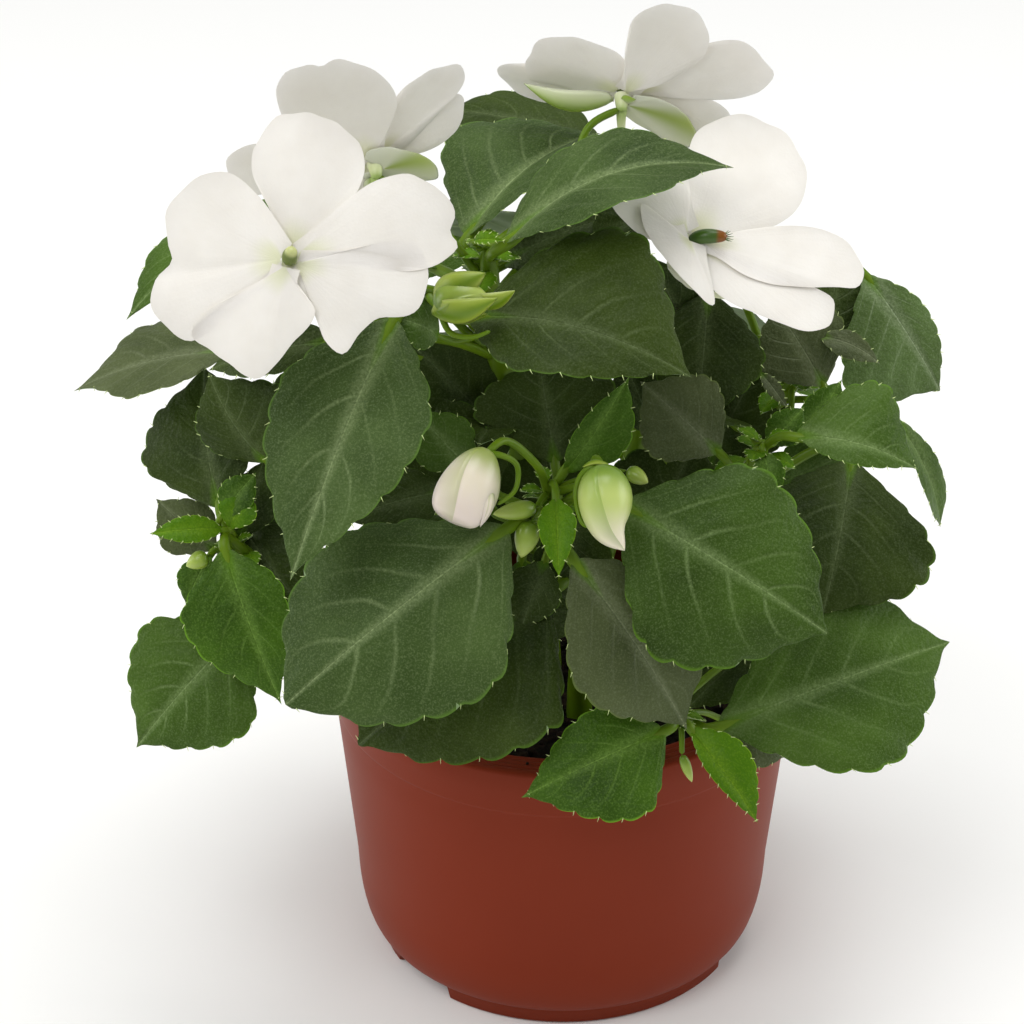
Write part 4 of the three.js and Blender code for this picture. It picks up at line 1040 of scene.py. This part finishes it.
def add_petal(bm, spec, face, seed):
    """Both skins of one petal, fanned out from its claw to its outline."""
    rim = Path([round_centre(*place) for place in spec["outline"]])
    heart = sum(rim.samples, Vector()) / len(rim.samples)
    middle = math.degrees(math.atan2(heart.y, heart.x))

    def flare(angle):
        # A petal's foot spreads beyond its sides, so that it laps over the next petal's foot.
        beyond = (angle - middle + 180) % 360 - 180
        return round_centre(angle + math.copysign(THROAT_FLARE, beyond), 2 * THROAT_RADIUS)

    first, last = spec["outline"][0][0], spec["outline"][-1][0]
    rim = Path([flare(first), *[round_centre(*place) for place in spec["outline"]], flare(last)])
    claw = heart.normalized() * THROAT_RADIUS
    claw.z = spec["layer"]
    rand = random.Random(seed)
    phase = rand.uniform(0, 1)
    largest = max(p.length for p in rim.samples)

    def surface(u, v):
        uneven = EDGE_UNEVENNESS * noise.noise(Vector((v * 14, seed, 0))) * math.sin(math.pi * v)
        edge = rim.at(v)[0] * (1 + uneven)
        point = claw + Vector((edge.x - claw.x, edge.y - claw.y, 0)) * u
        far = (point.xy - claw.xy).length / largest
        fan = noise.noise(Vector((v * 5, u * 1.2, seed))) * FAN_HEIGHT * far
        ripple = spec["ripple"] * math.sin(2 * math.pi * (3 * v + phase)) * u**3 * far
        crease = 0
        if spec["crease"]:
            crease = -CREASE_DEPTH * math.exp(-(((v - spec["crease"]) / 0.04) ** 2)) * u
        swell = PETAL_SWELL * math.sin(math.pi * min(far * 1.1, 1)) * math.sin(math.pi * v)
        point.z = spec["layer"] * (1 - 0.3 * far) + fan + ripple + crease + swell
        return point

    def upper(u, v):
        return face @ surface(u, v)

    def lower(u, v):
        v = 1 - v
        point = surface(u, v)
        point.z -= PETAL_THICKNESS * (1 - u**8) * min(1, 10 * min(v, 1 - v))
        return face @ point

    bend_grid(bm, 22, 64, upper, 0)
    bend_grid(bm, 22, 64, lower, 1)


def add_sepal(bm, base, tip, width, facing, material):
    """A small pointed leaf-like scale, hollowed on one side."""
    spine = tip - base
    left = facing.cross(spine).normalized()
    up = spine.cross(left).normalized()

    def surface(u, v):
        across = 1 - 2 * v
        half = width / 2 * outline(0.01 + 0.98 * u, 0.6, 1.0)
        rise = spine.length * 0.22 * math.sin(math.pi * u) - 0.5 * half * across**2
        return base + spine * u + left * across * half + up * rise

    def lower(u, v):
        return surface(u, 1 - v) - up * SEPAL_THICKNESS * math.sin(math.pi * u) * (1 - (1 - 2 * v) ** 2)

    bend_grid(bm, 14, 8, surface, material)
    bend_grid(bm, 14, 8, lower, material)


def stalk_path(plant, end):
    """The path of a flower's or bud's stalk, from its shoot."""
    return Path([SHOOT_PATHS[plant["shoot"]].at(plant["at"])[0], *plant["bends"], end])


def build_flowers():
    """Each open flower: its petals, then its stalk with its pouch, spur, cap and small sepals."""
    throat = bud_material("throat of the flower, whitish green", "#e0e4c4", "#cfd8a4", "#9db564")
    anther = bud_material("anther cap, olive with a pale tip", "#b4b97c", "#5b6a26", "#435218", (0.7, 0.9))
    burst = bud_material("anther cap, split and brown at its tip", "#7a4708", "#3f5c1c", "#2c4712",
                         (0.68, 0.8))
    for number, (name, flower) in enumerate(FLOWERS.items()):
        face = face_frame(flower)
        for part in ("dorsal", "left_pair", "right_pair"):
            bm = start_mesh()
            for i, spec in enumerate(flower[part]):
                add_petal(bm, spec, face, 10 * number + i + len(part))
            # The two skins look alike and have a slot each, so that their shared edge is crisp.
            make_piece(f"petals_{name}_{part}", bm, [PETAL, PETAL], "petal", f"flower_{name}_{part}")
        bm = start_mesh()
        add_petal(bm, petal(flower["pouch"], POUCH_LAYER, 0.2), face, number)
        for skin in bm.faces:
            skin.material_index = POUCH_SLOT
        back = face @ Vector((0, -1, -4))
        add_tube(bm, stalk_path(flower, back), tapered(*FLOWER_STALK), 36, 10, STALK_SLOT)
        spur = Path([face @ Vector(p) for p in flower["spur"]])
        add_tube(bm, spur, tapered(1.4, 0.45), 30, 10, THROAT_SLOT)
        cup = Path([face @ Vector(p) for p in ((0, -1.6, -5), (0, -0.6, -3), (0, 0, -0.4))])
        add_tube(bm, cup, tapered(1.1, 2.1), 10, 14, THROAT_SLOT)
        tip = Vector(flower["column"])
        cap = Path([face @ -Z, face @ (tip * 0.3 + Z), face @ tip])
        add_tube(bm, cap, lambda u: 1.75 * outline(u, 0.3, 0.35), 20, 14, CAP_SLOT)
        if name == "front_right":
            # The split tip frays into short threads.
            for angle in range(0, 360, 40):
                ray = face.to_3x3() @ (tip.normalized() + 0.6 * round_centre(angle, 1))
                foot = face @ (tip * 0.93 + round_centre(angle, 0.6))
                add_bristle(bm, foot, ray.normalized(), 1.5, CAP_SLOT)
        outlook = face.to_3x3() @ Z
        for start, end, width in flower["sepals"]:
            base = face @ round_centre(*start, -3.1)
            add_sepal(bm, base, face @ round_centre(*end, -2.9), width, -outlook, SEPAL_SLOT)
        cap_material = burst if name == "front_right" else anther
        make_piece(f"flower_{name}_stalk_and_spur", bm, [STALK, throat, cap_material, POUCH, KEEL], "stem",
                   f"flower_{name}_stalk")


# ---------------------------------------------------------------- buds
BUD_PETAL, BUD_STALK, BUD_SEPAL = 0, 1, 2  # the material slots of a bud
PETAL_STEP = 0.17  # how far each petal's rim stands out, as a share of the bud's radius
TIP_FLUTES = 0.12  # how far the three petals stand out at a blunt tip, in the same share
BUD_TURN = 0.1  # of a full turn, from base to tip


def build_buds():
    """Each large bud: its wrapped petals, its stalk, its spur and the loose rims on it."""
    green = bud_material("swollen bud, yellow green to cream", "#e0d8c2", "#b3c26e", "#6f8f2c", seams=0.5)
    cream = bud_material("swollen bud, pinkish cream", "#ddd0c5", "#d9d0bb", "#93a252", seams=0.45)
    petals = {"bud_left": cream, "bud_right": green, "bud_top": CLOSED_BUD}
    for name, bud in BUDS.items():
        spine = Path(bud["body"])
        side = spine.at(0)[1].orthogonal().normalized()

        def body(u, v):
            place, along = spine.at(u)
            across = (side - along * side.dot(along)).normalized()
            # Three petals wrap round each other, each with its rim standing a little proud.
            fold = 3 * v % 1
            wrap = 1 + PETAL_STEP * fold**4 * math.sin(math.pi * min(u * 1.2, 1)) ** 0.5
            flute = 1 + TIP_FLUTES * (1 - bud["point"]) * u**5 * math.cos(2 * math.pi * (3 * v + 0.4))
            size = bud["width"] / 2 * outline(u, 0.5, bud["point"]) * wrap * flute
            angle = -2 * math.pi * (v + BUD_TURN * u)
            return place + size * (math.cos(angle) * across + math.sin(angle) * along.cross(across))

        bm = start_mesh()
        bend_grid(bm, 44, 90, body, BUD_PETAL)
        inside = spine.at(0.08)[0]
        add_tube(bm, stalk_path(bud, inside), tapered(*FLOWER_STALK), 36, 10, BUD_STALK)
        add_tube(bm, Path([inside, *bud["spur"]]), tapered(0.85, 0.45), 40, 8, BUD_STALK)
        for start, end, width, of_petal in bud["rims"]:
            start, end = Vector(start), Vector(end)
            # Each rim faces away from the body and a little to the front.
            outward = (start + end) / 2 - spine.at(0.5)[0] - Vector((0, 6, 0))
            add_sepal(bm, start, end, width, outward, BUD_PETAL if of_petal else BUD_SEPAL)
        make_piece(name + "_petals", bm, [petals[name], STALK, SEPAL], "bud", name)


# ---------------------------------------------------------------- pot and compost
POT_HEIGHT = 85
POT_RIM_RADIUS = 60
SHOULDER_RADIUS = 53.9
SHOULDER_HEIGHT = 24
FOOT_RADIUS = 48
FOOT_HEIGHT = 4.5
POT_WALL = 1.3
RIM_BAND = 13  # from the pot's top down to the lower edge of its band
LIP_WIDTH = 8
LIP_GROOVES = 3
FOOT_GAPS = (-140, -19, 101)  # their directions and their span are in degrees
FOOT_GAP_SPAN = 24
FOOT_GAP_REACH = 32  # from the pot's axis to the inner end of a gap
DRAIN_RADIUS = 3.4
DRAIN_REACH = 40  # from the pot's axis to the middle of a drain hole
POT_STEPS = 240  # faces round the pot


def wall_radius(height):
    """The radius of the tapered wall at a height."""
    widening = (POT_RIM_RADIUS - SHOULDER_RADIUS) * (height - SHOULDER_HEIGHT)
    return SHOULDER_RADIUS + widening / (POT_HEIGHT - SHOULDER_HEIGHT)


def spin_profile(bm, profile, steps):
    """Turns a profile of radii and heights round the pot's axis."""
    verts = [bm.verts.new(Vector((radius, 0, height)) * MM) for radius, height in profile]
    edges = [bm.edges.new(pair) for pair in zip(verts, verts[1:])]
    bmesh.ops.spin(bm, geom=verts + edges, cent=(0, 0, 0), axis=(0, 0, 1), angle=2 * math.pi, steps=steps,
                   use_merge=True)
    bmesh.ops.remove_doubles(bm, verts=bm.verts, dist=0.001 * MM)
    bmesh.ops.recalc_face_normals(bm, faces=bm.faces)


def build_pot():
    """The pot as one skin, thickened inwards: foot, shoulder, tapered wall, rim band and grooved lip."""
    band = POT_HEIGHT - RIM_BAND
    profile = [(0.0, 0.0), *[(radius, 0.0) for radius in range(FOOT_GAP_REACH - 1, FOOT_RADIUS)]]
    profile += [(FOOT_RADIUS, 0.6), (FOOT_RADIUS, FOOT_HEIGHT - 0.5), (FOOT_RADIUS + 0.4, FOOT_HEIGHT + 0.2)]
    # The shoulder is a soft quarter curve from above the foot up to the wall.
    for i in range(9):
        angle = math.radians(10 * i)
        profile.append((FOOT_RADIUS + 1.5 + (SHOULDER_RADIUS - FOOT_RADIUS - 1.5) * math.sin(angle),
                        FOOT_HEIGHT + 1 + (SHOULDER_HEIGHT - FOOT_HEIGHT - 1) * (1 - math.cos(angle)) ** 0.9))
    profile += [(wall_radius(h), h) for h in range(SHOULDER_HEIGHT + 2, band - 2, 6)]
    profile += [(wall_radius(band) - 0.4, band - 0.5), (wall_radius(band) - 0.35, band - 0.15)]
    profile += [(wall_radius(band) - 0.05, band + 0.2), (wall_radius(band), band + 0.6)]
    profile += [(wall_radius(POT_HEIGHT - 7), POT_HEIGHT - 7), (POT_RIM_RADIUS, POT_HEIGHT - 1.2)]
    profile += [(POT_RIM_RADIUS - 0.3, POT_HEIGHT - 0.4), (POT_RIM_RADIUS - 1, POT_HEIGHT)]
    # The lip runs inwards with shallow grooves in it.
    for i in range(LIP_GROOVES):
        start = POT_RIM_RADIUS - 2.2 - 1.7 * i
        profile += [(start, POT_HEIGHT), (start - 0.35, POT_HEIGHT - 0.35), (start - 0.75, POT_HEIGHT - 0.35),
                    (start - 1.1, POT_HEIGHT)]
    lip = POT_RIM_RADIUS - LIP_WIDTH
    profile += [(lip + 0.6, POT_HEIGHT), (lip, POT_HEIGHT - 0.6), (lip, POT_HEIGHT - 2.2)]
    bm = bmesh.new()
    bm.loops.layers.uv.new("UVMap")
    spin_profile(bm, profile, POT_STEPS)
    for vert in bm.verts:
        x, y, z = vert.co / MM
        azimuth = math.degrees(math.atan2(y, x))
        off = min(abs((azimuth - gap + 180) % 360 - 180) for gap in FOOT_GAPS)
        if z < FOOT_HEIGHT and math.hypot(x, y) > FOOT_GAP_REACH - 0.5 and off < FOOT_GAP_SPAN / 2:
            vert.co.z = FOOT_HEIGHT * MM
    for gap in FOOT_GAPS:
        drain = round_centre(gap, DRAIN_REACH, FOOT_HEIGHT) * MM
        cut = [face for face in bm.faces if (face.calc_center_median() - drain).length < DRAIN_RADIUS * MM]
        rim = {vert for face in cut for vert in face.verts}
        bmesh.ops.delete(bm, geom=cut, context="FACES")
        for vert in rim:
            if vert.is_valid:
                vert.co = drain + (vert.co - drain).normalized() * DRAIN_RADIUS * MM
    piece = make_piece("pot_shell", bm, [pot_material()], "pot_plastic", "pot", doubles=0.001)
    wall = piece.modifiers.new("wall", "SOLIDIFY")
    wall.thickness = POT_WALL * MM
    wall.offset = -1


COMPOST_RADIUS = 56.5  # at its top
CRUMBS = 420
CRUMB_REACH = 56  # how far out the crumbs on the compost lie


def compost_height(share):
    """The height of the compost's slightly domed top at a share of the way out."""
    return 72 - 1.5 * share**2


def build_compost():
    """The root ball: a smooth plug with a crumbly top, and loose crumbs on it and on the pot's lip."""
    material = compost_material()
    bm = bmesh.new()
    bm.loops.layers.uv.new("UVMap")
    top = [(i * COMPOST_RADIUS / 40, compost_height(i / 40)) for i in range(40, -1, -1)]
    spin_profile(bm, [(0, 6), (44, 6), (49, 12), (52, 24), (56.8, 69), *top], 120)
    for vert in bm.verts:
        # Only the top is crumbly.
        if vert.co.z > 68 * MM:
            place = vert.co / MM
            vert.co.z += (1.3 * noise.noise(place * 0.35) + 0.6 * noise.noise(place * 1.1)) * MM
    make_piece("compost_block", bm, [material], "compost", "soil", doubles=0.001)
    rand = random.Random(7)
    bm = bmesh.new()
    bm.loops.layers.uv.new("UVMap")
    for i in range(CRUMBS):
        angle = rand.uniform(0, 2 * math.pi)
        radius = CRUMB_REACH * math.sqrt(rand.uniform(0, 1))
        size = rand.uniform(0.5, 1.7)
        height = compost_height(radius / CRUMB_REACH) + 0.3 * size
        if i % 9 == 0:
            # This one has dropped on the lip.
            radius = rand.uniform(52.6, 57.5)
            size = rand.uniform(0.25, 0.6)
            height = POT_HEIGHT + 0.2 * size
        place = Vector((radius * math.cos(angle), radius * math.sin(angle), height)) * MM
        shape = Matrix.Diagonal((rand.uniform(0.7, 1.3), rand.uniform(0.7, 1.3), rand.uniform(0.5, 0.9), 1))
        made = bmesh.ops.create_icosphere(bm, subdivisions=1, radius=size * MM,
                                          matrix=Matrix.Translation(place) @ shape)
        for vert in made["verts"]:
            vert.co += Vector([rand.uniform(-0.2, 0.2) * size * MM for _ in range(3)])
    make_piece("compost_crumbs", bm, [material], "compost", doubles=0.0001)


# ---------------------------------------------------------------- studio
SURROUND_STRENGTH = 0.48
AIM = (0, 0, 0.14)  # the point that the lamps face, in metres


def add_studio():
    """A pale floor and large soft lights on a white surround."""
    floor_mesh = bmesh.new()
    bmesh.ops.create_grid(floor_mesh, x_segments=1, y_segments=1, size=4)
    mesh = bpy.data.meshes.new("floor")
    floor_mesh.to_mesh(mesh)
    floor_mesh.free()
    mesh.materials.append(plain_material("painted white studio floor", "#f4f4f2", 0.8))
    add_object("floor", mesh)
    world = bpy.data.worlds.new("studio surround")
    bpy.context.scene.world = world
    world.use_nodes = True
    surround = world.node_tree.nodes["Background"]
    surround.inputs["Color"].default_value = (1, 1, 1, 1)
    surround.inputs["Strength"].default_value = SURROUND_STRENGTH
    # Each lamp: its place and its side in metres, and its power in watts.
    for name, place, size, power in (
        ("key", (-0.55, -0.75, 1.25), 0.8, 7.4),
        ("left strip", (-1.2, 0.1, 0.5), 0.7, 5),
        ("right strip", (1.2, 0.1, 0.5), 0.7, 5),
        ("top", (0.1, 0.2, 1.5), 0.9, 10.5),
    ):
        light = bpy.data.lights.new(name, "AREA")
        light.shape = "SQUARE"
        light.size = size
        light.energy = power
        lamp = add_object(name, light)
        lamp.location = place
        lamp.rotation_euler = (Vector(AIM) - Vector(place)).to_track_quat("-Z", "Y").to_euler()
    bpy.context.scene.view_settings.view_transform = "Standard"


build_pot()
build_compost()
build_shoots()
build_leaves()
build_flowers()
build_buds()
add_studio()
